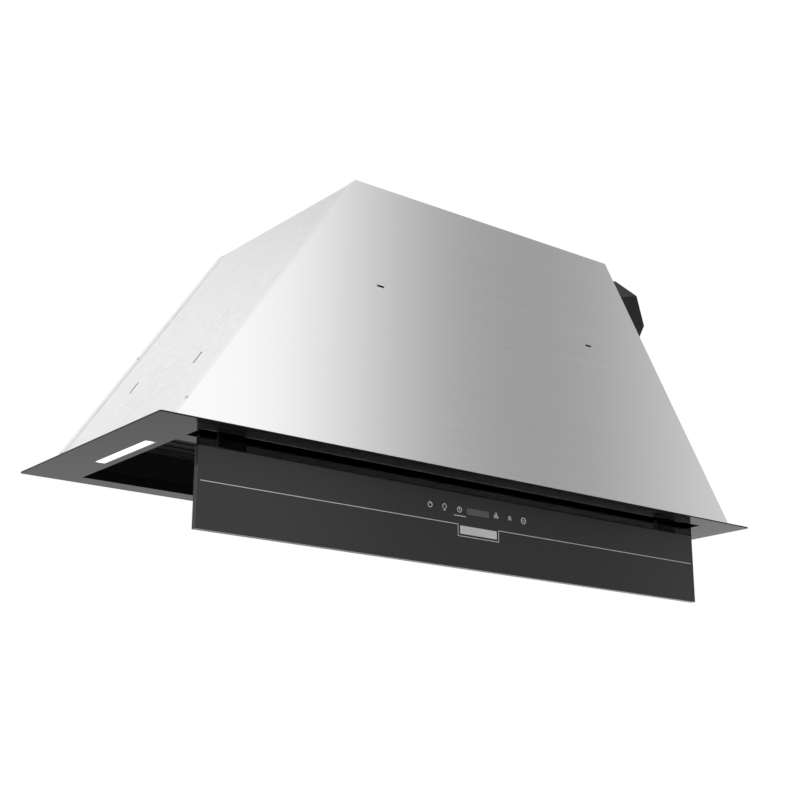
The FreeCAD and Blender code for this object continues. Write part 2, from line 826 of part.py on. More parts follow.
def makeVisor():
    half = "visorWidth / 2"
    glass = newBody("visor_glass")
    pad(glass, "XZ", "visorFace", "glassSheet", rectangle("-" + half, half, "-visorDrop", "visorRise"))
    touchHalf = "(touchWidth / 2 - touchMargin)"
    low = "touchTop - touchHeight + touchMargin"
    high = "touchTop - touchMargin"
    plate = newBody("visor_back_plate")
    window = rectangle("-" + touchHalf, touchHalf, low, high)
    pad(plate, "XZ", glassBack, "backPlateSheet", rectangle("-" + half, half, "-visorDrop", "backPlateTop"), window)
    inHalf = "(%s - seamGap)" % touchHalf
    board = span(
        ("-" + inHalf, glassBack, low + " + seamGap"),
        (inHalf, glassBack + " + touchBoardSheet", high + " - seamGap"),
    )
    chip = span(
        ("-touchHeight / 2", glassBack + " + touchBoardSheet", low + " + touchMargin"),
        ("touchHeight / 2", plateBack + " + touchMargin / 2", high + " - touchMargin"),
    )
    keep(fuse(board, chip), "touch_board")
    outHalf = "touchWidth / 2"
    outer = span(("-" + outHalf, plateBack, "touchTop - touchHeight"), (outHalf, plateBack + " + touchDepth", "touchTop"))
    wall = "touchWall"
    hollow = span(
        ("-%s + %s" % (outHalf, wall), plateBack + " - overrun", "touchTop - touchHeight + " + wall),
        ("%s - %s" % (outHalf, wall), plateBack + " + touchDepth - " + wall, "touchTop - " + wall),
    )
    keep(cut(outer, hollow), "touch_board_cover")


# Visor guides: carriage on a rod each side, with a rack for the lift

rackFace = "(armBack + rackBase)"


def makeCarriage(name, side):
    def between(low, high, near, far, foot, head):
        left, right = sided(side, low, high)
        return span((left, near, foot), (right, far, head))

    inner = "rodCentre - blockHalf"
    outer = "rodCentre + blockHalf"
    head = "blockFoot + blockHeight"
    block = between(inner, outer, "armBack", "blockBack", "blockFoot", head)
    arm = between("armInside", outer, plateBack, "armBack", "-armDrop", head)
    tongue = between("armInside", "rackInside + rackWidth", plateBack, "armBack", head, "rackTop")
    middle = ("" if side > 0 else "-") + "rodCentre"
    bore = cylinder((middle, "rodMiddle", "blockFoot - overrun"), "rodRadius + rodGap", "blockHeight + 2 * overrun")
    keep(cut(fuse(block, arm, tongue), bore), "carriage_" + name)


tipShare = 0.9
rootShare = 1.25
flankShares = (0, 0.35, 0.7, 1)


def toothModule():
    return 2 * size("pinionRadius") / size("pinionTeeth")


def pinionMiddle():
    pitchLine = size("armBack") + size("rackBase") + toothModule() * rootShare
    return pitchLine + size("pinionRadius")


def makeRack(name, side):
    """Teeth face the wall, with a gap at the height of the cross shaft."""
    module = toothModule()
    pitch = math.pi * module
    root = size("armBack") + size("rackBase")
    line = root + module * rootShare
    tip = line + module * tipShare
    slope = math.tan(math.radians(size("pressureAngle")))
    half = pitch / 4 - size("toothPlay") / 4
    low = size("rackFoot")
    high = size("rackTop")
    shaft = size("shaftHeight")
    first = math.ceil((low - shaft) / pitch + 1)
    last = math.floor((high - shaft) / pitch - 1)
    flank = [(root, half + (line - root) * slope), (tip, half - (tip - line) * slope)]
    points = [(size("armBack"), low), (root, low)]
    for number in range(first, last + 1):
        middle = shaft + (number - 0.5) * pitch
        points += [(out, middle - wide) for out, wide in flank]
        points += [(out, middle + wide) for out, wide in reversed(flank)]
    points += [(root, high), (size("armBack"), high)]
    left = size("rackInside") if side > 0 else -size("rackInside") - size("rackWidth")
    corners = [Vector(left, out, up) for out, up in points]
    rack = Part.Face(Part.makePolygon(corners + corners[:1])).extrude(Vector(size("rackWidth"), 0, 0))
    keep(feature("Rack", rack), "rack_" + name)


def toothOutline():
    """One pinion with involute flanks, as points around the X axis."""
    module = toothModule()
    teeth = int(size("pinionTeeth"))
    pitchRadius = size("pinionRadius")
    angle = math.radians(size("pressureAngle"))
    baseRadius = pitchRadius * math.cos(angle)
    spread = lambda turn: math.tan(turn) - turn
    play = size("toothPlay") / 4 / pitchRadius
    tipRadius = pitchRadius + module * tipShare
    rootRadius = pitchRadius - module * rootShare
    flank = [(rootRadius, math.pi / (2 * teeth) + spread(angle) - play)]
    for share in flankShares:
        radius = baseRadius + (tipRadius - baseRadius) * share
        turn = math.acos(baseRadius / radius)
        flank.append((radius, math.pi / (2 * teeth) + spread(angle) - spread(turn) - play))
    points = []
    for tooth in range(teeth):
        middle = math.pi + 2 * math.pi * tooth / teeth
        points += [(radius, middle - wide) for radius, wide in flank]
        points += [(radius, middle + wide) for radius, wide in reversed(flank)]
    return [(radius * math.cos(turn), radius * math.sin(turn)) for radius, turn in points]


def makeLift():
    across = pinionMiddle()
    level = size("shaftHeight")
    pinions = []
    for name, side in sides:
        left = size("rackInside") if side > 0 else -size("rackInside") - size("rackWidth")
        corners = [Vector(left, across + out, level + up) for out, up in toothOutline()]
        wheel = Part.Face(Part.makePolygon(corners + corners[:1])).extrude(Vector(size("rackWidth"), 0, 0))
        axle = Part.makeCylinder(size("shaftRadius"), size("rackWidth"), Vector(left, across, level), Vector(1, 0, 0))
        pinions.append(wheel.cut(axle))
    keep(feature("Pinions", Part.makeCompound(pinions)), "lift_pinions")
    middle = "(%s + pinionRadius * (1 + 2 * %s / pinionTeeth))" % (rackFace, rootShare)
    end = "(rackInside + rackWidth + shaftOverhang)"
    shaft = cylinder(("-" + end, middle, "shaftHeight"), "shaftRadius", "2 * " + end, "X")
    keep(shaft, "lift_cross_shaft")
    through = lambda: cylinder(("-" + end, middle, "shaftHeight"), "shaftRadius + rodGap", "2 * " + end, "X")
    blocks = []
    for name, side in sides:
        left, right = sided(side, "bearingInside", "bearingInside + bearingWidth")
        low = "shaftHeight - bearingHeight / 2"
        block = span((left, middle + " - bearingHeight / 3", low), (right, shieldFront, low + " + bearingHeight"))
        blocks.append(cut(block, through()))
    keep(group(*blocks), "lift_bearings")
    half = "liftMotorWidth / 2"
    low = "shaftHeight - liftMotorHeight / 2"
    gears = span(
        ("liftMotorCentre - " + half, "liftMotorFront", low),
        ("liftMotorCentre + " + half, shieldFront, low + " + liftMotorHeight"),
    )
    can = cylinder(("liftMotorCentre", middle, low + " + liftMotorHeight"), "liftCanRadius", "liftCanLength")
    keep(cut(fuse(gears, can), through()), "lift_gear_motor")


def makeGuide(name, side):
    sign = "" if side > 0 else "-"
    middle = sign + "rodCentre"
    keep(cylinder((middle, "rodMiddle", "0"), "rodRadius", "rodTop"), "guide_rod_" + name)
    left, right = sided(side, "bracketInside", "bracketOutside")
    front = "slotBack + lipSheet + seamGap * 4"
    foot = span((left, front, "0"), (right, shieldFront, "bracketSheet"))
    web = span((left, shieldFront + " - bracketSheet", "0"), (right, shieldFront, "earHeight + bracketSheet"))
    ear = span((left, front, "earHeight"), (right, shieldFront, "earHeight + bracketSheet"))
    hole = cylinder((middle, "rodMiddle", "-overrun"), "rodRadius + rodGap", "rodTop + 2 * overrun")
    edge = "openingWidth / 2 - wingGap"
    left, right = sided(side, "bracketOutside - bracketSheet", edge)
    wing = span((left, shieldFront + " - bracketSheet", "0"), (right, shieldFront, "wingHeight"))
    slots = []
    for i in range(int(size("wingSlotCount"))):
        start = "%s - bracketSheet - wingSlotWidth - wingSlotPitch * %d" % (edge, i)
        left, right = sided(side, start, start + " + wingSlotWidth")
        low = (left, shieldFront + " - overrun", "wingSlotFoot")
        slots.append(span(low, (right, shieldFront + " + overrun", "wingHeight - wingSlotFoot")))
    keep(cut(fuse(foot, web, ear, wing), hole, *slots), "guide_bracket_" + name)


# Outlet: an octagonal collar on the right wall, with a round duct socket and two flaps

def outletPlace():
    tilt = math.radians(size("outletTilt"))
    outward = Vector(math.cos(tilt), 0, math.sin(tilt))
    upward = Vector(-math.sin(tilt), 0, math.cos(tilt))
    mouth = Vector(size("mouthRight"), size("mouthMiddle"), size("mouthHeight"))
    return FreeCAD.Placement(mouth, Rotation(Vector(0, 1, 0), upward, outward, "ZXY"))


def wallPlace():
    """Where the collar's axis meets the right wall, with Z along the wall's normal."""
    slope = (size("bodyWidth") - size("topWidth")) / 2 / size("bodyHeight")
    sheet = size("wallSheet") * math.sqrt(1 + slope ** 2)
    tilt = math.radians(size("outletTilt"))
    beyond = size("mouthRight") + slope * size("mouthHeight") - (size("bodyWidth") / 2 - sheet)
    back = beyond / (math.cos(tilt) + slope * math.sin(tilt))
    foot = outletPlace().multVec(Vector(0, 0, -back))
    normal = Vector(1, 0, slope)
    upward = Vector(-slope, 0, 1)
    return FreeCAD.Placement(foot, Rotation(Vector(0, 1, 0), upward.normalize(), normal.normalize(), "ZXY"))


def octagon(across, low, high):
    radius = across / 2 / math.cos(math.pi / 8)
    turns = [math.pi / 8 + math.pi / 4 * i for i in range(8)]
    corners = [Vector(radius * math.cos(turn), radius * math.sin(turn), low) for turn in turns]
    return Part.Face(Part.makePolygon(corners + corners[:1])).extrude(Vector(0, 0, high - low))


def placed(shape, place):
    moved = shape.copy()
    moved.Placement = place.multiply(moved.Placement)
    return moved


def collarLength():
    """Long enough to reach past the blower's neck at the lowest corner."""
    tilt = math.radians(size("outletTilt"))
    return (size("mouthRight") - size("neckEnd")) / math.cos(tilt) + size("outletAcross") * math.tan(tilt)


def flangeScrews(grow, low, high):
    spots = [math.pi / 4 + math.pi / 2 * i for i in range(4)]
    reach = size("flangeScrewReach")
    centres = [Vector(reach * math.cos(turn), reach * math.sin(turn), low) for turn in spots]
    return [Part.makeCylinder(size(grow), high - low, centre) for centre in centres]


def pinRod(extra):
    """The flap pin's space, grown all round, from one side of the collar to the other."""
    reach = size("outletAcross") / 2 + size("overrun")
    foot = Vector(0, -reach, -size("flapDepth"))
    return Part.makeCylinder(size("pinRadius") + extra, 2 * reach, foot, Vector(0, 1, 0))


def makeCollar():
    place = outletPlace()
    wall = wallPlace()
    length = collarLength()
    over = size("overrun")
    tube = placed(octagon(size("outletAcross"), -length, 0), place)
    plate = placed(octagon(size("flangeAcross"), 0, size("flangeSheet")), wall)
    body = tube.fuse(plate)
    throat = Part.makeCylinder(size("throatRadius"), length + 2 * over, Vector(0, 0, -length - over))
    socket = Part.makeCylinder(size("ductRadius"), size("ductDepth") + over, Vector(0, 0, -size("ductDepth")))
    pin = pinRod(0)
    reach = size("outletAcross") * 2
    corner = Vector(size("neckEnd") - reach, size("mouthMiddle") - reach / 2, size("mouthHeight") - reach)
    behind = Part.makeBox(reach, reach, 2 * reach, corner)
    body = body.cut([placed(throat, place), placed(socket, place), placed(pin, place), behind])
    top = -size("flapDepth") - size("flapSheet") / 2 - size("seatGap")
    rim = size("throatRadius") + size("seatGap")
    seat = Part.makeCylinder(rim, size("seatSheet"), Vector(0, 0, top - size("seatSheet")))
    seat = seat.cut(Part.makeCylinder(size("seatInner"), length, Vector(0, 0, -length)))
    seat = seat.cut(pinRod(size("seatGap")))
    body = body.fuse(placed(seat, place)).removeSplitter()
    keep(feature("Collar", body), "outlet_collar")
    face = size("flangeSheet")
    screws = flangeScrews("flangeScrewHead", face, face + size("flangeScrewHeight"))
    heads = [placed(screw, wall) for screw in screws]
    keep(feature("CollarScrews", Part.makeCompound(heads)), "collar_screws")


def makeOutletHole():
    grown = octagon(size("outletAcross") + 2 * size("outletGap"), -collarLength(), 0)
    return feature("OutletHole", placed(grown, outletPlace()))


def makeFlap(label, side):
    """Half a disc with two knuckles round the pin, which runs along the local Y axis."""
    radius = size("throatRadius") - size("flapGap")
    sheet = size("flapSheet")
    edge = size("flapEdge")
    disc = Part.makeCylinder(radius, sheet, Vector(0, 0, -sheet / 2))
    near = edge if side > 0 else -radius - edge
    flap = disc.common(Part.makeBox(radius, 2 * radius, sheet, Vector(near, -radius, -sheet / 2)))
    length = size("knuckleLength")
    for i in range(4):
        if (i % 2 == 0) != (side > 0):
            continue
        start = (i - 2) * size("knucklePitch") + (size("knucklePitch") - length) / 2
        barrel = Part.makeCylinder(size("knuckleRadius"), length, Vector(0, start, 0), Vector(0, 1, 0))
        near = 0 if side > 0 else -edge - sheet
        arm = Part.makeBox(edge + sheet, length, sheet, Vector(near, start, -sheet / 2))
        flap = flap.fuse([barrel, arm])
    clear = size("pinRadius") + size("knuckleGap")
    bore = Part.makeCylinder(clear, 2 * radius, Vector(0, -radius, 0), Vector(0, 1, 0))
    flap = flap.cut(bore).removeSplitter()
    flap.translate(Vector(0, 0, -size("flapDepth")))
    keep(feature("Flap", placed(flap, outletPlace())), label)


def makeFlapPin():
    half = size("outletAcross") / 2
    pin = Part.makeCylinder(size("pinRadius"), 2 * half, Vector(0, -half, -size("flapDepth")), Vector(0, 1, 0))
    keep(feature("FlapPin", placed(pin, outletPlace())), "outlet_flap_pin")


# Blower: a scroll of four arcs in two shells, with its neck towards the outlet

def scrollFace(offset, level, end):
    """The air space's outline, grown by an offset, as a face at a level."""
    step = size("scrollStep")
    centre = Vector(size("fanMiddleX"), size("fanMiddleY"), level)
    corners = [Vector(step / 2, step / 2, 0), Vector(-step / 2, step / 2, 0)]
    corners += [Vector(-step / 2, -step / 2, 0), Vector(step / 2, -step / 2, 0)]
    radii = [size("scrollStart") + step * i + offset for i in range(4)]
    inner = size("neckInner") + offset
    turns = [math.asin((inner - step / 2) / radii[0]), 0, math.pi / 2, math.pi, math.pi * 3 / 2]
    edges = []
    for i in range(4):
        spot = lambda turn: centre + corners[i] + Vector(radii[i] * math.cos(turn), radii[i] * math.sin(turn), 0)
        a, b = turns[i], turns[i + 1]
        edges.append(Part.Arc(spot(a), spot((a + b) / 2), spot(b)).toShape())
    start = edges[0].Vertexes[0].Point
    finish = edges[-1].Vertexes[-1].Point
    far = Vector(end, finish.y, level)
    near = Vector(end, start.y, level)
    for a, b in ((finish, far), (far, near), (near, start)):
        edges.append(Part.LineSegment(a, b).toShape())
    return Part.Face(Part.Wire(edges))


def makeScroll(label, low, high, upper):
    wall = size("scrollWall")
    end = size("neckEnd")
    over = size("overrun")
    rise = high - low
    shell = scrollFace(wall, low, end).extrude(Vector(0, 0, rise))
    seam = low if upper else high - size("seamLipSheet")
    lip = scrollFace(wall + size("seamLip"), seam, end - size("neckFlange"))
    lip = lip.extrude(Vector(0, 0, size("seamLipSheet")))
    front = size("fanMiddleY") - size("scrollStep") / 2 - size("scrollStart") - size("scrollStep") * 3 - wall
    back = size("fanMiddleY") + size("neckInner") + wall
    edge = size("neckFlange")
    foot = low if upper else low - edge / 2
    corner = Vector(end - wall, front - edge / 2, foot)
    flange = Part.makeBox(wall, back - front + edge, rise + edge / 2, corner)
    shell = shell.fuse([lip, flange])
    floor = low - over if upper else low + wall
    roof = high - wall if upper else high + over
    air = scrollFace(0, floor, end + over).extrude(Vector(0, 0, roof - floor))
    middle = Vector(size("fanMiddleX"), size("fanMiddleY"), low - over)
    hole = size("motorHole") if upper else size("inletThroat") + size("inletTurn") + size("seamGap")
    opening = Part.makeCylinder(hole, rise + 2 * over, middle)
    keep(feature(label, shell.cut([air, opening]).removeSplitter()), label)


bellShares = (0, 0.33, 0.67, 1)


def makeInletRing():
    """A bell mouth that leads the air into the impeller."""
    throat = size("inletThroat")
    turn = size("inletTurn")
    sheet = size("inletSheet")
    level = size("fanFloor") - sheet
    rim = throat + turn + size("inletFlange")
    centre = Vector(throat + turn, 0, level + turn)
    bends = [math.pi / 2 * share for share in bellShares]
    spot = lambda radius, bend: centre - Vector(radius * math.sin(bend), 0, radius * math.cos(bend))
    profile = [Vector(rim, 0, level)] + [spot(turn, bend) for bend in bends]
    profile += [spot(turn - sheet, bend) for bend in reversed(bends)] + [Vector(rim, 0, level + sheet)]
    ring = Part.Face(Part.makePolygon(profile + profile[:1])).revolve(Vector(0, 0, 0), Vector(0, 0, 1), 360)
    ring.translate(Vector(size("fanMiddleX"), size("fanMiddleY"), 0))
    keep(feature("InletRing", ring), "blower_inlet_ring")


bladeShares = ((0, 0), (0.5, 0.25), (1, 1))


def makeImpeller():
    """Forward-curved blades between a hub plate above and a ring below."""
    middle = Vector(size("fanMiddleX"), size("fanMiddleY"), 0)
    low = size("fanFloor") + size("bladeGap")
    high = size("fanFloor") + size("scrollHeight") - size("hubDrop")
    inner = size("bladeInner")
    outer = size("fanRadius")
    plate = Part.makeCylinder(outer, size("hubSheet"), Vector(0, 0, high - size("hubSheet")))
    ring = Part.makeCylinder(outer, size("ringHeight"), Vector(0, 0, low))
    foot = Vector(0, 0, low - size("ringHeight"))
    ring = ring.cut(Part.makeCylinder(outer - size("ringWidth"), 3 * size("ringHeight"), foot))
    blades = []
    count = int(size("bladeCount"))
    sweep = math.radians(size("bladeSweep"))
    sheet = size("bladeSheet")
    inset = sheet / 4
    for i in range(count):
        turn = 2 * math.pi * i / count
        spots = []
        for share, lead in bladeShares:
            radius = inner + (outer - inset - inner) * share
            angle = turn + sweep * lead
            spots.append((radius, angle))
        corner = lambda radius, angle: Vector(radius * math.cos(angle), radius * math.sin(angle), low)
        front = [corner(radius, angle) for radius, angle in spots]
        back = [corner(radius, angle - sheet / radius) for radius, angle in spots]
        outline = Part.makePolygon(front + back[::-1] + front[:1])
        blades.append(Part.Face(outline).extrude(Vector(0, 0, high - low - size("hubSheet") / 2)))
    wheel = plate.fuse(blades + [ring])
    hole = Part.makeCylinder(size("rotorRadius") + size("seamGap"), high, Vector(0, 0, 0))
    wheel = wheel.cut(hole)
    wheel.translate(middle)
    keep(feature("Impeller", wheel), "impeller")


def makeMotor():
    middle = ("fanMiddleX", "fanMiddleY")
    plateTop = "(fanFloor + scrollHeight - hubDrop)"
    rotorFoot = "(%s - rotorHeight + rotorGap * 3)" % plateTop
    outer = cylinder(middle + (rotorFoot,), "rotorRadius", "rotorHeight")
    rim = cylinder(middle + (plateTop + " - hubSheet - rotorGap",), "rotorFlange", "rotorGap")
    inside = cylinder(middle + (rotorFoot + " + rotorWall",), "rotorRadius - rotorWall", "rotorHeight")
    keep(cut(fuse(outer, rim), inside), "motor_rotor")
    shellTop = "(fanFloor + scrollHeight)"
    statorFoot = "(%s + rotorWall + rotorGap)" % rotorFoot
    pack = cylinder(middle + (statorFoot,), "statorRadius", shellTop + " - " + statorFoot)
    flange = cylinder(middle + (shellTop,), "motorFlange", "motorFlangeSheet")
    bore = cylinder(middle + (statorFoot + " - overrun",), "motorShaftRadius + rodGap", "scrollHeight")
    keep(cut(fuse(pack, flange), bore), "motor_stator")
    shaftFoot = "(%s + rotorWall)" % rotorFoot
    shaft = cylinder(middle + (shaftFoot,), "motorShaftRadius", shellTop + " + motorFlangeSheet / 2 - " + shaftFoot)
    keep(shaft, "motor_shaft")


def makeBuffers():
    """Rubber buffers, waisted at the middle, that carry the blower's upper shell from the top sheet."""
    low = size("fanFloor") + size("scrollHeight")
    high = size("bodyHeight") - size("wallSheet")
    wide = size("bufferRadius")
    waist = size("bufferWaist")
    level = (low + high) / 2
    buffer = Part.makeCone(wide, waist, level - low, Vector(0, 0, low))
    buffer = buffer.fuse(Part.makeCone(waist, wide, high - level, Vector(0, 0, level)))
    buffers = []
    for across in (-1, 1):
        for along in (-1, 1):
            reach = size("bufferReach")
            copy = buffer.copy()
            copy.translate(Vector(size("fanMiddleX") + across * reach, size("fanMiddleY") + along * reach, 0))
            buffers.append(copy)
    keep(feature("Buffers", Part.makeCompound(buffers)), "blower_buffers")


# Electrics on the back panel, and the cable gland in the top

boardShares = (("0.2", "0.16"), ("0.42", "0.1"), ("0.6", "0.1"), ("0.76", "0.1"))


def makeElectrics():
    wallFace = "(bodyDepth / 2 - wallSheet)"
    front = wallFace + " - boxDepth"
    right = "boxLeft + boxWidth"
    head = "boxFoot + boxHeight"
    shell = span(("boxLeft", front, "boxFoot"), (right, wallFace, head))
    hollow = span(
        ("boxLeft + boxWall", front + " - overrun", "boxFoot + boxWall"),
        (right + " - boxWall", wallFace + " - boxWall", head + " - boxWall"),
    )
    keep(cut(shell, hollow), "control_box")
    keep(span(("boxLeft", front + " - boxCoverSheet", "boxFoot"), (right, front, head)), "control_box_cover")
    inset = "(boxWall + boardInset)"
    back = wallFace + " - boxWall"
    board = span(
        ("boxLeft + " + inset, back + " - boardStand - boardSheet", "boxFoot + " + inset),
        (right + " - " + inset, back + " - boardStand", head + " - " + inset),
    )
    stands = []
    for across in ("boxLeft + %s + boardInset" % inset, right + " - %s - boardInset" % inset):
        for up in ("boxFoot + %s + boardInset" % inset, head + " - %s - boardInset" % inset):
            stands.append(cylinder((across, back + " - boardStand", up), "boardInset / 2", "boardStand", "Y"))
    parts = []
    for share, width in boardShares:
        left = "boxLeft + boxWidth * %s" % share
        low = "boxFoot + boxHeight * 0.35"
        face = back + " - boardStand - boardSheet"
        parts.append(
            span((left, face + " - partHeight", low), (left + " + boxWidth * " + width, face, low + " + boxHeight * 0.3"))
        )
    keep(fuse(board, *stands, *parts), "control_board")
    foot = (right, front + " + boxDepth / 2", "boxFoot + capacitorRadius + capacitorGap")
    keep(cylinder(foot, "capacitorRadius", "capacitorLength", "X"), "motor_capacitor")
    under = "bodyHeight - wallSheet"
    thread = cylinder(("glandX", "glandY", under + " - glandRadius"), "glandRadius", "glandRadius + glandHeight")
    nut = hexagon(("glandX", "glandY", under + " - glandRadius * 0.6"), "glandCollar", "glandRadius * 0.6")
    collar = hexagon(("glandX", "glandY", "bodyHeight"), "glandCollar", "glandHeight * 0.4")
    bore = cylinder(("glandX", "glandY", under + " - glandRadius - overrun"), "glandBore", "glandHeight * 3")
    keep(cut(fuse(thread, nut, collar), bore), "cable_gland")


makeTrim()
makeTrimNuts()
makeFaceSheet("front_panel", True)
makeFaceSheet("back_panel", False)
makeSideWall("left_side_panel", -1)
makeTop()
makeRivets()
makeSurround()
makeShield()
for name, side in sides:
    makeFilterFrame(name, side)
    makeBaffles(name, side)
    makeFilterHandle(name, side)
    makeLamp(name, side)
    makeCarriage(name, side)
    makeRack(name, side)
    makeGuide(name, side)
makeVisor()
makeLift()
makeCollar()
blank = makeSideWall("right_side_panel", 1)
nodes.remove(blank)
blank.Label = "right_wall_blank"
keep(cut(blank, makeOutletHole()), "right_side_panel")
makeFlap("outlet_flap_front", -1)
makeFlap("outlet_flap_rear", 1)
makeFlapPin()
middle = size("fanFloor") + size("scrollHeight") / 2
makeScroll("blower_lower_shell", size("fanFloor"), middle, False)
makeScroll("blower_upper_shell", middle, size("fanFloor") + size("scrollHeight"), True)
makeInletRing()
makeImpeller()
makeMotor()
makeBuffers()
makeElectrics()

doc.recompute()
for item in doc.Objects:
    if "Invalid" in item.State or "Error" in item.State:
        raise RuntimeError("%s could not be rebuilt" % item.Label)
for part in nodes:
    if part.Shape.isNull() or not part.Shape.isValid():
        raise RuntimeError("%s has no valid shape" % part.Label)
os.makedirs("parts", exist_ok=True)
for part in nodes:
    part.Shape.exportStep("parts/%s.step" % part.Label)
print(len(nodes), "sub-parts written")
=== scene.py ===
import bpy
import bmesh
import math
from mathutils import Matrix, Vector


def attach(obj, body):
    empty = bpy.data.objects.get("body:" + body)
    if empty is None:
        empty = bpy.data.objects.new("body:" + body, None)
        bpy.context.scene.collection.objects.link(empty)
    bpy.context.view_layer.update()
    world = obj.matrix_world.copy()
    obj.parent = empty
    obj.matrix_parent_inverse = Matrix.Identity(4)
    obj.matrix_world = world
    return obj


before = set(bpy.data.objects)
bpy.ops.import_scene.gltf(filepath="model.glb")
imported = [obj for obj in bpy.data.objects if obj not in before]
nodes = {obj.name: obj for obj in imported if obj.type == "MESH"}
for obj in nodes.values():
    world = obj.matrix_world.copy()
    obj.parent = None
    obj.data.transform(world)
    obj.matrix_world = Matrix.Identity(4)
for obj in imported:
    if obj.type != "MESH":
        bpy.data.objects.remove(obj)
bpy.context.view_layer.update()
print("frame loaded:", len(nodes), "nodes")

# Camera, at the photograph's viewing angle

photoView = {
    "eye": (-1.111, -1.382, -0.4035),
    "yaw": 38.25,  # degrees to the right of the hood's front
    "pitch": 16.84,
    "roll": 0.11,
    "lens": 65.23,
    "sensor": 36.0,
    "nearest": 0.01,
}


def placeCamera(shot):
    yaw, pitch, roll = (math.radians(shot[key]) for key in ("yaw", "pitch", "roll"))
    ahead = Vector((math.sin(yaw) * math.cos(pitch), math.cos(yaw) * math.cos(pitch), math.sin(pitch)))
    right = Vector((math.cos(yaw), -math.sin(yaw), 0))
    up = right.cross(ahead)
    across = right * math.cos(roll) + up * math.sin(roll)
    upward = up * math.cos(roll) - right * math.sin(roll)
    turn = Matrix((across, upward, -ahead)).transposed().to_4x4()
    camera = bpy.data.cameras.new("photoCamera")
    camera.lens = shot["lens"]
    camera.sensor_width = shot["sensor"]
    camera.clip_start = shot["nearest"]
    holder = bpy.data.objects.new("photoCamera", camera)
    holder.matrix_world = Matrix.Translation(shot["eye"]) @ turn
    bpy.context.scene.collection.objects.link(holder)
    bpy.context.scene.camera = holder


placeCamera(photoView)
bpy.context.scene.view_settings.view_transform = "Standard"

# Room: white to the camera and through the glass, and shaded by direction where the hood mirrors it

studioRoom = {
    "light": 1.9,  # the shades below run from 0 to 1, and 0.5 is the plain level
    # share of a full turn from the front, by the left and the wall side, and the room's shade there:
    # one grey flag stands just past the wall side, and a darker one to the right of the front
    "shades": (
        (0.0, 0.5), (0.505, 0.47), (0.527, 0.53), (0.537, 0.43), (0.552, 0.34),
        (0.58, 0.42), (0.62, 0.5), (0.835, 0.52), (0.86, 0.37), (0.869, 0.205),
        (0.8755, 0.145), (0.882, 0.15), (0.888, 0.185), (0.893, 0.235), (0.8975, 0.345),
        (0.903, 0.51), (0.908, 0.61), (0.916, 0.63), (0.935, 0.55), (1.0, 0.5),
    ),
}


def buildRoom(room):
    world = bpy.data.worlds.new("studioRoom")
    bpy.context.scene.world = world
    world.use_nodes = True
    tree = world.node_tree
    tree.nodes.clear()
    make = tree.nodes.new
    link = tree.links.new
    coord = make("ShaderNodeTexCoord")
    split = make("ShaderNodeSeparateXYZ")
    link(coord.outputs["Generated"], split.inputs[0])
    turn = make("ShaderNodeMath")
    turn.operation = "ARCTAN2"
    link(split.outputs["X"], turn.inputs[0])
    link(split.outputs["Y"], turn.inputs[1])
    share = make("ShaderNodeMapRange")
    share.inputs["From Min"].default_value = -math.pi
    share.inputs["From Max"].default_value = math.pi
    link(turn.outputs[0], share.inputs["Value"])
    ramp = make("ShaderNodeValToRGB")
    ramp.color_ramp.interpolation = "CARDINAL"
    link(share.outputs[0], ramp.inputs[0])
    points = ramp.color_ramp.elements
    points[0].position, points[-1].position = 0, 1
    for spot, shade in room["shades"][1:-1]:
        points.new(spot)
    for point, (spot, shade) in zip(points, room["shades"]):
        point.position = spot
        point.color = (shade, shade, shade, 1)
    mirrored = make("ShaderNodeBackground")
    link(ramp.outputs["Color"], mirrored.inputs["Color"])
    mirrored.inputs["Strength"].default_value = room["light"]
    white = make("ShaderNodeBackground")
    white.inputs["Color"].default_value = (1, 1, 1, 1)
    path = make("ShaderNodeLightPath")
    seen = make("ShaderNodeMath")
    seen.operation = "MAXIMUM"
    link(path.outputs["Is Camera Ray"], seen.inputs[0])
    link(path.outputs["Is Transmission Ray"], seen.inputs[1])
    last = make("ShaderNodeMixShader")
    link(seen.outputs[0], last.inputs[0])
    link(mirrored.outputs[0], last.inputs[1])
    link(white.outputs[0], last.inputs[2])
    out = make("ShaderNodeOutputWorld")
    link(last.outputs[0], out.inputs["Surface"])


buildRoom(studioRoom)

# Floor, plain and pale

studioFloor = {"level": -1.05, "size": 9.0, "colour": (0.88, 0.88, 0.88, 1), "roughness": 0.7}


def layFloor(plan):
    half = plan["size"] / 2
    level = plan["level"]
    mesh = bpy.data.meshes.new("studioFloor")
    corners = [(-half, -half, level), (half, -half, level), (half, half, level), (-half, half, level)]
    mesh.from_pydata(corners, [], [(0, 1, 2, 3)])
    floor = bpy.data.objects.new("studioFloor", mesh)
    bpy.context.scene.collection.objects.link(floor)
    finish = bpy.data.materials.new("paleFloor")
    finish.use_nodes = True
    shader = finish.node_tree.nodes["Principled BSDF"]
    shader.inputs["Base Color"].default_value = plan["colour"]
    shader.inputs["Roughness"].default_value = plan["roughness"]
    mesh.materials.append(finish)


layFloor(studioFloor)

# Lamps: two soft boxes that the hood doesn't mirror

softBoxes = {
    "frontBox": {"spot": (-1.6, -2.6, 1.3), "aim": (0, 0, 0.1), "wide": 2.2, "high": 1.6, "power": 12},
    "leftBox": {"spot": (-2.6, 0.6, 1.2), "aim": (-0.3, 0, 0.15), "wide": 1.8, "high": 1.6, "power": 10},
}


def hangBox(name, box):
    light = bpy.data.lights.new(name, "AREA")
    light.shape = "RECTANGLE"
    light.size = box["wide"]
    light.size_y = box["high"]
    light.energy = box["power"]
    holder = bpy.data.objects.new(name, light)
    holder.location = box["spot"]
    aim = Vector(box["aim"]) - Vector(box["spot"])
    holder.rotation_euler = aim.to_track_quat("-Z", "Y").to_euler()
    holder.visible_glossy = False
    bpy.context.scene.collection.objects.link(holder)


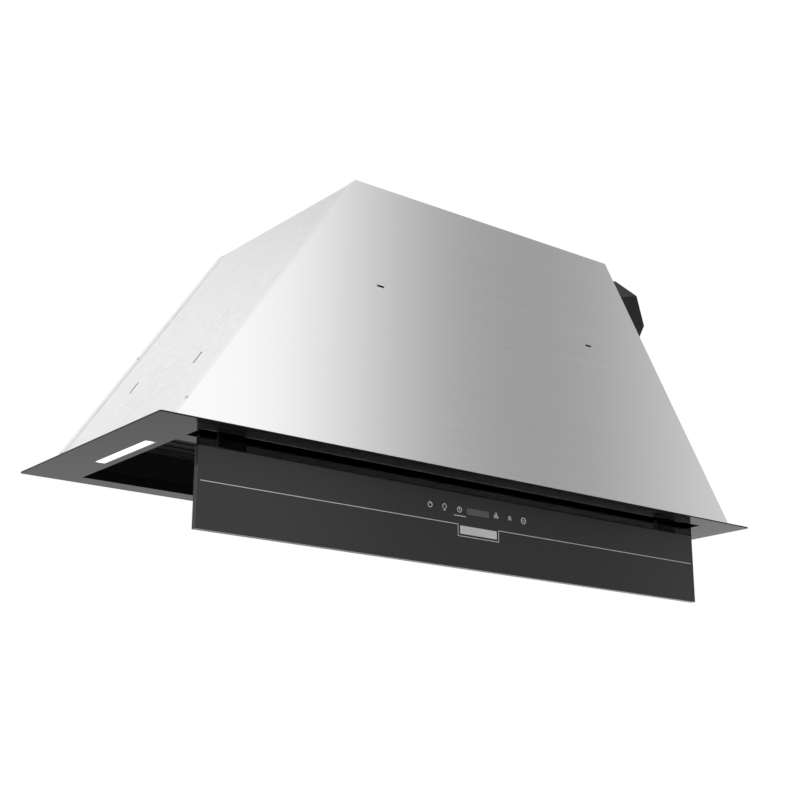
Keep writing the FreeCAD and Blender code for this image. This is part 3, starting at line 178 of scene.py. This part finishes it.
for name, box in softBoxes.items():
    hangBox(name, box)
print("studio ready")

# How a finish is put together: colour, gloss, grain and bumps as shader nodes


class Finish:
    glossiest = 0.02  # the least roughness that a swing may reach
    edgeSamples = 4

    def __init__(self, name, colour, roughness, metallic=0.0, gloss=0.5):
        self.material = bpy.data.materials.new(name)
        self.material.use_nodes = True
        self.tree = self.material.node_tree
        self.shader = self.tree.nodes["Principled BSDF"]
        self.colour = colour
        self.roughness = roughness
        self.set(Base_Color=(*colour, 1), Roughness=roughness, Metallic=metallic, Specular_IOR_Level=gloss)
        self.place = self.make("ShaderNodeTexCoord").outputs["Object"]
        self.normal = None

    def make(self, kind, **values):
        node = self.tree.nodes.new(kind)
        for key, value in values.items():
            setattr(node, key, value)
        return node

    def link(self, source, target):
        self.tree.links.new(source, target)

    def set(self, **values):
        for key, value in values.items():
            self.shader.inputs[key.replace("_", " ")].default_value = value

    def feed(self, socket, source):
        self.link(source, self.shader.inputs[socket])

    def math(self, operation, *values):
        node = self.make("ShaderNodeMath", operation=operation)
        for socket, value in zip(node.inputs, values):
            if isinstance(value, (int, float)):
                socket.default_value = value
            else:
                self.link(value, socket)
        return node.outputs[0]

    def split(self):
        node = self.make("ShaderNodeSeparateXYZ")
        self.link(self.place, node.inputs[0])
        return node.outputs

    def stretched(self, scale):  # one number for all three ways, or a number for each
        mapping = self.make("ShaderNodeMapping")
        mapping.inputs["Scale"].default_value = scale if isinstance(scale, tuple) else (scale,) * 3
        self.link(self.place, mapping.inputs["Vector"])
        return mapping.outputs["Vector"]

    def noise(self, scale, detail=4.0, rough=0.55):
        node = self.make("ShaderNodeTexNoise")
        node.inputs["Scale"].default_value = 1
        node.inputs["Detail"].default_value = detail
        node.inputs["Roughness"].default_value = rough
        self.link(self.stretched(scale), node.inputs["Vector"])
        return node.outputs["Fac"]

    def spread(self, source, low, high, start=0.3, end=0.7):
        node = self.make("ShaderNodeMapRange")
        for key, value in (("From Min", start), ("From Max", end), ("To Min", low), ("To Max", high)):
            node.inputs[key].default_value = value
        self.link(source, node.inputs["Value"])
        return node.outputs["Result"]

    def blend(self, source, low, high, start=0.0, end=1.0):
        ramp = self.make("ShaderNodeValToRGB")
        points = ramp.color_ramp.elements
        for point, spot, colour in zip(points, (start, end), (low, high)):
            point.position = spot
            point.color = (*colour, 1)
        self.link(source, ramp.inputs["Fac"])
        self.feed("Base Color", ramp.outputs["Color"])

    def shade(self, source, low, high, start=0.25, end=0.75):
        dark = [value * low for value in self.colour]
        pale = [min(value * high, 1) for value in self.colour]
        self.blend(source, dark, pale, start, end)

    def rough(self, source, swing, start=0.3, end=0.7):
        low = max(self.roughness - swing, self.glossiest)
        self.feed("Roughness", self.spread(source, low, self.roughness + swing, start, end))

    def bump(self, source, height, strength):
        node = self.make("ShaderNodeBump")
        node.inputs["Distance"].default_value = height
        node.inputs["Strength"].default_value = strength
        self.link(source, node.inputs["Height"])
        if self.normal:
            self.link(self.normal, node.inputs["Normal"])
        self.normal = node.outputs["Normal"]
        self.feed("Normal", self.normal)

    def softEdge(self, radius):  # the broken edge of an enamelled sheet, as light catches it
        node = self.make("ShaderNodeBevel", samples=self.edgeSamples)
        node.inputs["Radius"].default_value = radius
        self.normal = node.outputs["Normal"]
        self.feed("Normal", self.normal)


dressed = set()


def dress(finish, *names):
    for name in names:
        mesh = nodes[name].data
        mesh.materials.clear()
        mesh.materials.append(finish.material)
        dressed.add(name)


# Trim: glossy black enamel, grey where it mirrors the pale room and dark where it mirrors the visor

enamelCoat = {
    "gloss": 0.5,
    "bending": 1.45,
    "edge": 0.0004,
    "peel": 420,
    "peelStrength": 0.35,
    "cloud": 24,
    "cloudSwing": 0.02,
    "patch": 9,
    "patchShade": (0.96, 1.04),
}
trimPaint = {"colour": (0.006, 0.006, 0.0062), "roughness": 0.14, "bending": 1.18, "peelHeight": 0.000004}


def enamel(name, changes):
    paint = {**enamelCoat, **changes}
    finish = Finish(name, paint["colour"], paint["roughness"], gloss=paint["gloss"])
    finish.set(IOR=paint["bending"])
    finish.softEdge(paint["edge"])
    peel = finish.noise(paint["peel"], detail=2.0, rough=0.45)
    finish.bump(peel, paint["peelHeight"], paint["peelStrength"])
    finish.rough(finish.noise(paint["cloud"], detail=5.0, rough=0.6), paint["cloudSwing"])
    finish.shade(finish.noise(paint["patch"]), *paint["patchShade"])
    return finish


dress(enamel("trimEnamel", trimPaint), "trim_frame")
print("trim painted")

# Front panel: stainless sheet with a fine grain that runs across the hood

frontSheet = {
    "colour": (0.86, 0.86, 0.865),
    "roughness": 0.17,
    "grain": (5, 3200, 3200),
    "grainSwing": 0.012,
    "grainShade": (0.992, 1.006),
}


def brushed(name, sheet):
    finish = Finish(name, sheet["colour"], sheet["roughness"], metallic=1.0)
    grain = finish.noise(sheet["grain"], detail=2.0, rough=0.5)
    finish.rough(grain, sheet["grainSwing"])
    finish.shade(grain, *sheet["grainShade"])
    return finish


dress(brushed("frontStainless", frontSheet), "front_panel")
print("front panel brushed")

# Body and blower sheets: hot-dip galvanised steel, whose crystals show faintly

zincCoat = {
    "contrast": 0.05,
    "swing": 0.025,
    "sway": 310,
    "smoothness": 0.35,
    "patch": 7,
    "patchFade": (0.25, 1.0),  # the crystals come and go over the sheet
    "dust": 900,
    "dustHeight": 0.00002,
    "dustStrength": 0.15,
}
bodySheet = {"colour": (0.83, 0.835, 0.845), "roughness": 0.16, "crystals": (190, 190, 140)}
fanSheet = {"colour": (0.62, 0.625, 0.64), "roughness": 0.36, "crystals": (170, 170, 170)}


def galvanised(name, changes):
    sheet = {**zincCoat, **changes}
    finish = Finish(name, sheet["colour"], sheet["roughness"], metallic=1.0)
    sway = finish.make("ShaderNodeTexNoise")
    sway.inputs["Scale"].default_value = sheet["sway"]
    finish.link(finish.place, sway.inputs["Vector"])
    warp = finish.make("ShaderNodeVectorMath", operation="ADD")
    finish.link(finish.stretched(sheet["crystals"]), warp.inputs[0])
    finish.link(sway.outputs["Color"], warp.inputs[1])
    crystals = finish.make("ShaderNodeTexVoronoi", feature="SMOOTH_F1")
    crystals.inputs["Scale"].default_value = 1
    crystals.inputs["Smoothness"].default_value = sheet["smoothness"]
    finish.link(warp.outputs[0], crystals.inputs["Vector"])
    tone = finish.make("ShaderNodeSeparateColor")
    finish.link(crystals.outputs["Color"], tone.inputs[0])
    patch = finish.noise(sheet["patch"], detail=2.0, rough=0.5)
    fade = finish.spread(patch, *sheet["patchFade"], start=0.35, end=0.65)
    dark = [value * (1 - 2 * sheet["contrast"]) for value in sheet["colour"]]
    finish.blend(finish.math("MULTIPLY", tone.outputs[1], fade), sheet["colour"], dark)
    finish.rough(tone.outputs[0], sheet["swing"], start=0.0, end=1.0)
    dust = finish.noise(sheet["dust"], detail=3.0, rough=0.6)
    finish.bump(dust, sheet["dustHeight"], sheet["dustStrength"])
    return finish


wallNodes = ("back_panel", "left_side_panel", "right_side_panel", "top_panel")
fanNodes = ("blower_lower_shell", "blower_upper_shell", "blower_inlet_ring", "impeller")
dress(galvanised("bodyGalvanised", bodySheet), *wallNodes)
dress(galvanised("fanGalvanised", fanSheet), *fanNodes)
print("body and blower sheets galvanised")

# Enamelled pieces round the filters, behind the visor and on the boxes and motors

bayPaint = {"colour": (0.0085, 0.0085, 0.0085), "roughness": 0.2, "gloss": 0.4, "peelHeight": 0.000005}
filterPaint = {"colour": (0.013, 0.013, 0.013), "roughness": 0.45, "gloss": 0.45, "peelHeight": 0.00003}
platePaint = {"colour": (0.012, 0.012, 0.013), "roughness": 0.45, "peelHeight": 0.00003}
boxPaint = {"colour": (0.05, 0.05, 0.052), "roughness": 0.45, "peelHeight": 0.00004}
motorPaint = {"colour": (0.10, 0.105, 0.11), "roughness": 0.4, "peelHeight": 0.00004}

filterParts = ("frame", "baffles", "handle")
filterNodes = ["filter_%s_%s" % (side, part) for side in ("left", "right") for part in filterParts]
dress(enamel("bayEnamel", bayPaint), "filter_surround", "compartment_shield")
dress(enamel("filterEnamel", filterPaint), *filterNodes)
dress(enamel("plateEnamel", platePaint), "visor_back_plate")
dress(enamel("boxEnamel", boxPaint), "control_box", "control_box_cover")
dress(enamel("motorPaint", motorPaint), "lift_gear_motor", "motor_rotor")
print("filter bay and boxes painted")

# Plated and ground steel: brackets, rivets, rods and shafts

steelFace = {
    "markSwing": 0.06,
    "markHeight": 0.00002,
    "markStrength": 0.3,
    "patch": 35,
    "patchShade": (0.94, 1.03),
}
zincPlate = {"colour": (0.66, 0.67, 0.69), "roughness": 0.33, "mark": (160, 160, 420)}
groundRod = {"colour": (0.72, 0.72, 0.73), "roughness": 0.16, "mark": (60, 60, 1800)}


def plainSteel(name, changes):
    steel = {**steelFace, **changes}
    finish = Finish(name, steel["colour"], steel["roughness"], metallic=1.0)
    mark = finish.noise(steel["mark"], detail=4.0, rough=0.6)
    finish.rough(mark, steel["markSwing"])
    finish.shade(finish.noise(steel["patch"]), *steel["patchShade"])
    finish.bump(mark, steel["markHeight"], steel["markStrength"])
    return finish


platedNodes = (
    "trim_nuts", "seam_rivets", "collar_screws", "outlet_flap_pin",
    "guide_bracket_left", "guide_bracket_right",
)
rodNodes = ("guide_rod_left", "guide_rod_right", "lift_cross_shaft", "motor_shaft")
dress(plainSteel("zincPlate", zincPlate), *platedNodes)
dress(plainSteel("groundRod", groundRod), *rodNodes)
print("brackets, rods and shafts plated")

# Moulded parts: collar, flaps, covers, lamp housings, lift gears and buffers

mouldFace = {
    "gloss": 0.5,
    "grain": 900,
    "grainStrength": 0.4,
    "cloud": 60,
    "cloudSwing": 0.05,
    "patch": 40,
    "patchShade": (0.93, 1.06),
}
collarPlastic = {
    "colour": (0.0065, 0.0065, 0.007),
    "roughness": 0.55,
    "gloss": 0.15,
    "grainHeight": 0.00006,
}
coverPlastic = {"colour": (0.016, 0.016, 0.017), "roughness": 0.5, "grainHeight": 0.00006}
glandPlastic = {"colour": (0.045, 0.045, 0.047), "roughness": 0.5, "grainHeight": 0.00006}
lampPlastic = {"colour": (0.72, 0.72, 0.70), "roughness": 0.45, "grainHeight": 0.00004}
gearPlastic = {"colour": (0.34, 0.34, 0.33), "roughness": 0.42, "gloss": 0.3, "grainHeight": 0.00003}
bufferRubber = {"colour": (0.02, 0.02, 0.02), "roughness": 0.75, "gloss": 0.3, "grainHeight": 0.0001}


def moulded(name, changes):
    plastic = {**mouldFace, **changes}
    finish = Finish(name, plastic["colour"], plastic["roughness"], gloss=plastic["gloss"])
    grain = finish.noise(plastic["grain"], detail=4.0, rough=0.6)
    finish.bump(grain, plastic["grainHeight"], plastic["grainStrength"])
    finish.rough(finish.noise(plastic["cloud"], detail=4.0, rough=0.6), plastic["cloudSwing"])
    finish.shade(finish.noise(plastic["patch"]), *plastic["patchShade"])
    return finish


collarNodes = ("outlet_collar", "outlet_flap_front", "outlet_flap_rear")
gearNodes = ("carriage_left", "carriage_right", "rack_left", "rack_right", "lift_pinions", "lift_bearings")
dress(moulded("collarPlastic", collarPlastic), *collarNodes)
dress(moulded("coverPlastic", coverPlastic), "touch_board_cover")
dress(moulded("glandPlastic", glandPlastic), "cable_gland")
dress(moulded("lampPlastic", lampPlastic), "lamp_left_housing", "lamp_right_housing")
dress(moulded("gearPlastic", gearPlastic), *gearNodes)
dress(moulded("bufferRubber", bufferRubber), "blower_buffers")
print("moulded parts finished")

# Motor core of stacked sheets, and the capacitor's drawn can

motorCore = {
    "colour": (0.36, 0.35, 0.34),
    "roughness": 0.42,
    "sheetsPerMetre": 320,
    "waver": 0.4,
    "sheetShade": (0.7, 1.1),
    "sheetHeight": 0.00008,
    "sheetStrength": 0.6,
    "cloud": 70,
    "cloudSwing": 0.08,
}
capacitorCan = {
    "colour": (0.74, 0.74, 0.75),
    "roughness": 0.3,
    "grain": (5, 900, 900),
    "grainSwing": 0.05,
    "grainShade": (0.992, 1.006),
}


def laminated(name, core):
    finish = Finish(name, core["colour"], core["roughness"], metallic=1.0)
    stack = finish.make("ShaderNodeTexWave", wave_type="BANDS", bands_direction="Z")
    stack.inputs["Scale"].default_value = core["sheetsPerMetre"]
    stack.inputs["Distortion"].default_value = core["waver"]
    finish.link(finish.place, stack.inputs["Vector"])
    finish.shade(stack.outputs["Fac"], *core["sheetShade"])
    finish.bump(stack.outputs["Fac"], core["sheetHeight"], core["sheetStrength"])
    finish.rough(finish.noise(core["cloud"]), core["cloudSwing"])
    return finish


dress(laminated("motorCore", motorCore), "motor_stator")
dress(brushed("capacitorCan", capacitorCan), "motor_capacitor")

# Circuit boards: green solder mask over a mesh of tracks

greenBoard = {
    "mask": (0.02, 0.11, 0.05),
    "pour": (0.025, 0.14, 0.065),
    "track": (0.10, 0.30, 0.14),
    "roughness": 0.35,
    "mesh": 260,
    "trackWidth": 0.06,
    "trackHeight": 0.00004,
    "trackStrength": 0.4,
    "cloud": 80,
    "cloudSwing": 0.06,
}


def circuitBoard(name, board):
    finish = Finish(name, board["mask"], board["roughness"])
    tracks = finish.make("ShaderNodeTexBrick")
    tracks.inputs["Scale"].default_value = 1
    tracks.inputs["Mortar Size"].default_value = board["trackWidth"]
    for socket, key in (("Color1", "mask"), ("Color2", "pour"), ("Mortar", "track")):
        tracks.inputs[socket].default_value = (*board[key], 1)
    finish.link(finish.stretched(board["mesh"]), tracks.inputs["Vector"])
    finish.feed("Base Color", tracks.outputs["Color"])
    finish.rough(finish.noise(board["cloud"]), board["cloudSwing"])
    finish.bump(tracks.outputs["Fac"], board["trackHeight"], board["trackStrength"])
    return finish


boardNodes = ("lamp_left_strip", "lamp_right_strip", "touch_board", "control_board")
dress(circuitBoard("greenBoard", greenBoard), *boardNodes)
print("motor and boards finished")

# Lamps: an opal strip glows inside a grey printed rim

lampLens = {
    "opal": (0.95, 0.95, 0.93),
    "rim": (0.05, 0.05, 0.052),
    "roughness": 0.35,
    "middleX": 0.4013,  # of the right lamp, from the hood's centre; the left one mirrors it
    "middleY": 0.0025,
    "halfWidth": 0.0057,
    "halfLength": 0.0575,
    "edge": 0.0008,
    "light": (1, 0.99, 0.965, 1),
    "glow": 1.5,
    "dimmest": 0.93,  # share of the glow between two diodes
    "diodes": 11.4,  # one faint bright spot for each diode behind the opal
    "grain": 1500,
    "grainHeight": 0.00003,
    "grainStrength": 0.3,
}


def lampOpal(name, lens):
    finish = Finish(name, lens["opal"], lens["roughness"])
    spot = finish.split()
    sideways = finish.math("SUBTRACT", finish.math("ABSOLUTE", spot["X"]), lens["middleX"])
    lengthways = finish.math("SUBTRACT", spot["Y"], lens["middleY"])
    inside = []
    for away, half in ((sideways, lens["halfWidth"]), (lengthways, lens["halfLength"])):
        inside.append(finish.spread(finish.math("ABSOLUTE", away), 1.0, 0.0, half - lens["edge"], half))
    lit = finish.math("MULTIPLY", *inside)
    finish.blend(lit, lens["rim"], lens["opal"])
    finish.set(Emission_Color=lens["light"])
    diodes = finish.make("ShaderNodeTexWave", wave_type="BANDS", bands_direction="Y")
    diodes.inputs["Scale"].default_value = lens["diodes"]
    finish.link(finish.place, diodes.inputs["Vector"])
    dimmest = lens["dimmest"] * lens["glow"]
    glow = finish.spread(diodes.outputs["Fac"], dimmest, lens["glow"], start=0.0, end=1.0)
    finish.feed("Emission Strength", finish.math("MULTIPLY", lit, glow))
    finish.bump(finish.noise(lens["grain"]), lens["grainHeight"], lens["grainStrength"])
    return finish


dress(lampOpal("lampOpal", lampLens), "lamp_left_lens", "lamp_right_lens")
print("lamps lit")

# Visor glass: smoked and clear at its top, printed black on its back below that

visorGlass = {
    "smoke": (0.066, 0.066, 0.068),
    "print": (0.031, 0.031, 0.0315),
    "printTop": -0.0160,
    "printEdge": 0.0008,
    "roughness": 0.03,
    "bending": 1.27,
    "cloud": 14,
    "cloudSwing": 0.012,
}


def smokedGlass(name, glass):
    finish = Finish(name, glass["smoke"], glass["roughness"])
    finish.set(IOR=glass["bending"])
    height = finish.split()["Z"]
    edge = glass["printTop"]
    clear = finish.spread(height, 0.0, 1.0, start=edge, end=edge + glass["printEdge"])
    finish.feed("Transmission Weight", clear)
    finish.blend(clear, glass["print"], glass["smoke"])
    finish.rough(finish.noise(glass["cloud"], detail=3.0, rough=0.5), glass["cloudSwing"])
    return finish


dress(smokedGlass("visorGlass", visorGlass), "visor_glass")
print("nodes dressed:", len(dressed), "left bare:", sorted(set(nodes) - dressed))

# Prints on the visor, each one a thin plate just in front of the glass

glassFront = {"face": -0.12142, "thick": 0.00012}


def flatPrint(name, loops, front, thick):  # each loop holds the (x, z) corners of one plate
    shape = bmesh.new()
    for loop in loops:
        near = [shape.verts.new((x, front, z)) for x, z in loop]
        far = [shape.verts.new((x, front + thick, z)) for x, z in loop]
        shape.faces.new(near)
        shape.faces.new(list(reversed(far)))
        for i in range(len(loop)):
            j = (i + 1) % len(loop)
            shape.faces.new((near[j], near[i], far[i], far[j]))
    bmesh.ops.recalc_face_normals(shape, faces=shape.faces)
    mesh = bpy.data.meshes.new(name)
    shape.to_mesh(mesh)
    shape.free()
    piece = bpy.data.objects.new(name, mesh)
    bpy.context.scene.collection.objects.link(piece)
    return piece


def onVisor(piece, ink):
    piece.data.materials.append(ink.material)
    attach(piece, "visor")


def bar(left, right, low, high):
    return [(left, low), (right, low), (right, high), (left, high)]


def stroke(points, width):
    quads = []
    for start, end in zip(points, points[1:]):
        a, b = Vector(start), Vector(end)
        along = (b - a).normalized() * width / 2
        side = Vector((-along.y, along.x))
        quads.append([tuple(a + side), tuple(b + side), tuple(b - side), tuple(a - side)])
    return quads


def ringBand(centre, radius, width, start=0.0, end=360.0, steps=40):
    quads = []
    inner, outer = radius - width / 2, radius + width / 2
    for i in range(steps):
        a = math.radians(start + (end - start) * i / steps)
        b = math.radians(start + (end - start) * (i + 1) / steps)
        spots = ((inner, a), (outer, a), (outer, b), (inner, b))
        quads.append([(centre[0] + r * math.cos(t), centre[1] + r * math.sin(t)) for r, t in spots])
    return quads


# Silver line, which dips round the bare plate

silverLine = {
    "left": -0.3775,
    "right": 0.3765,
    "level": -0.0522,
    "width": 0.0008,
    "dipLeft": -0.0307,
    "dipRight": 0.0327,
    "dipFoot": -0.0655,
    "ink": {"colour": (0.55, 0.55, 0.56), "roughness": 0.35, "mark": (300, 300, 300)},
}


def buildLine(line, glass):
    half = line["width"] / 2
    level = line["level"]
    left, right, foot = line["dipLeft"], line["dipRight"], line["dipFoot"]
    loops = [
        bar(line["left"], left + half, level - half, level + half),
        bar(right - half, line["right"], level - half, level + half),
        bar(left - half, left + half, foot, level - half),
        bar(right - half, right + half, foot, level - half),
        bar(left - half, right + half, foot - line["width"], foot),
    ]
    piece = flatPrint("visor_line", loops, glass["face"], glass["thick"])
    onVisor(piece, plainSteel("silverInk", line["ink"]))


buildLine(silverLine, glassFront)

# Six touch icons and the underline of the third one

touchIcons = {
    "level": -0.0347,
    "spots": (-0.0727, -0.0511, -0.0282, 0.0290, 0.0511, 0.0736),
    "radii": (0.0037, 0.0043, 0.0036, 0.0045, 0.0046, 0.0042),
    "stroke": 0.0007,
    "underLeft": -0.0366,
    "underRight": -0.0186,
    "underLevel": -0.0421,
    "ink": {"colour": (0.62, 0.62, 0.63), "roughness": 0.35, "gloss": 0.3, "grainHeight": 0.00001},
}

# Each icon is drawn round (x, z), in shares of its radius r, with strokes w wide


def powerIcon(x, z, r, w):
    return ringBand((x, z), r * 0.82, w, 115, 425) + [bar(x - w / 2, x + w / 2, z + r * 0.15, z + r * 1.15)]


def lampIcon(x, z, r, w):
    quads = ringBand((x, z + r * 0.25), r * 0.62, w, -50, 230)
    for i in range(2):
        level = z - r * (0.62 + 0.3 * i)
        quads.append(bar(x - r * 0.34, x + r * 0.34, level, level + w))
    return quads


def timerIcon(x, z, r, w):
    return ringBand((x, z), r * 0.86, w) + stroke([(x, z + r * 0.5), (x, z), (x + r * 0.38, z)], w)


def fanIcon(x, z, r, w):
    quads = ringBand((x, z), r * 0.16, w)
    for i in range(3):
        turn = 90 + 120 * i
        reach = r * 0.5
        middle = (x + reach * math.cos(math.radians(turn)), z + reach * math.sin(math.radians(turn)))
        quads += ringBand(middle, r * 0.3, w, turn - 150, turn + 120, 16)
    return quads


def boostIcon(x, z, r, w):
    quads = []
    for i in range(2):
        level = z - r * 0.5 + i * r * 0.6
        quads += stroke([(x - r * 0.55, level), (x, level + r * 0.5), (x + r * 0.55, level)], w)
    return quads


def holdIcon(x, z, r, w):
    return ringBand((x, z), r * 0.85, w) + [bar(x - r * 0.45, x + r * 0.45, z - w / 2, z + w / 2)]


def buildIcons(icons, glass):
    loops = []
    drawings = (powerIcon, lampIcon, timerIcon, fanIcon, boostIcon, holdIcon)
    for drawing, x, radius in zip(drawings, icons["spots"], icons["radii"]):
        loops += drawing(x, icons["level"], radius, icons["stroke"])
    low = icons["underLevel"] - icons["stroke"] / 2
    loops.append(bar(icons["underLeft"], icons["underRight"], low, low + icons["stroke"]))
    piece = flatPrint("touch_icons", loops, glass["face"], glass["thick"])
    onVisor(piece, moulded("whiteInk", icons["ink"]))


buildIcons(touchIcons, glassFront)

# Display window, empty

displayWindow = {
    "left": -0.0166,
    "right": 0.0178,
    "foot": -0.0390,
    "top": -0.0314,
    "ink": {"colour": (0.078, 0.078, 0.081), "roughness": 0.2, "gloss": 0.3, "grainHeight": 0.00001},
}


def buildDisplay(window, glass):
    loop = bar(window["left"], window["right"], window["foot"], window["top"])
    piece = flatPrint("touch_display", [loop], glass["face"], glass["thick"])
    onVisor(piece, moulded("windowInk", window["ink"]))


buildDisplay(displayWindow, glassFront)

# Bare satin plate, in the dip of the silver line

satinPlate = {
    "sideGap": 0.0032,
    "footGap": 0.0024,
    "topGap": 0.0012,
    "thick": 0.00024,
    "satin": {"colour": (0.42, 0.42, 0.425), "roughness": 0.35, "grainHeight": 0.00001},
}


def buildPlate(plate, line, glass):
    left, right = line["dipLeft"] + plate["sideGap"], line["dipRight"] - plate["sideGap"]
    low, high = line["dipFoot"] + plate["footGap"], line["level"] - plate["topGap"]
    front = glass["face"] + glass["thick"] - plate["thick"]
    piece = flatPrint("blank_plate", [bar(left, right, low, high)], front, plate["thick"])
    onVisor(piece, moulded("plateSatin", plate["satin"]))


buildPlate(satinPlate, silverLine, glassFront)
print("visor printed")
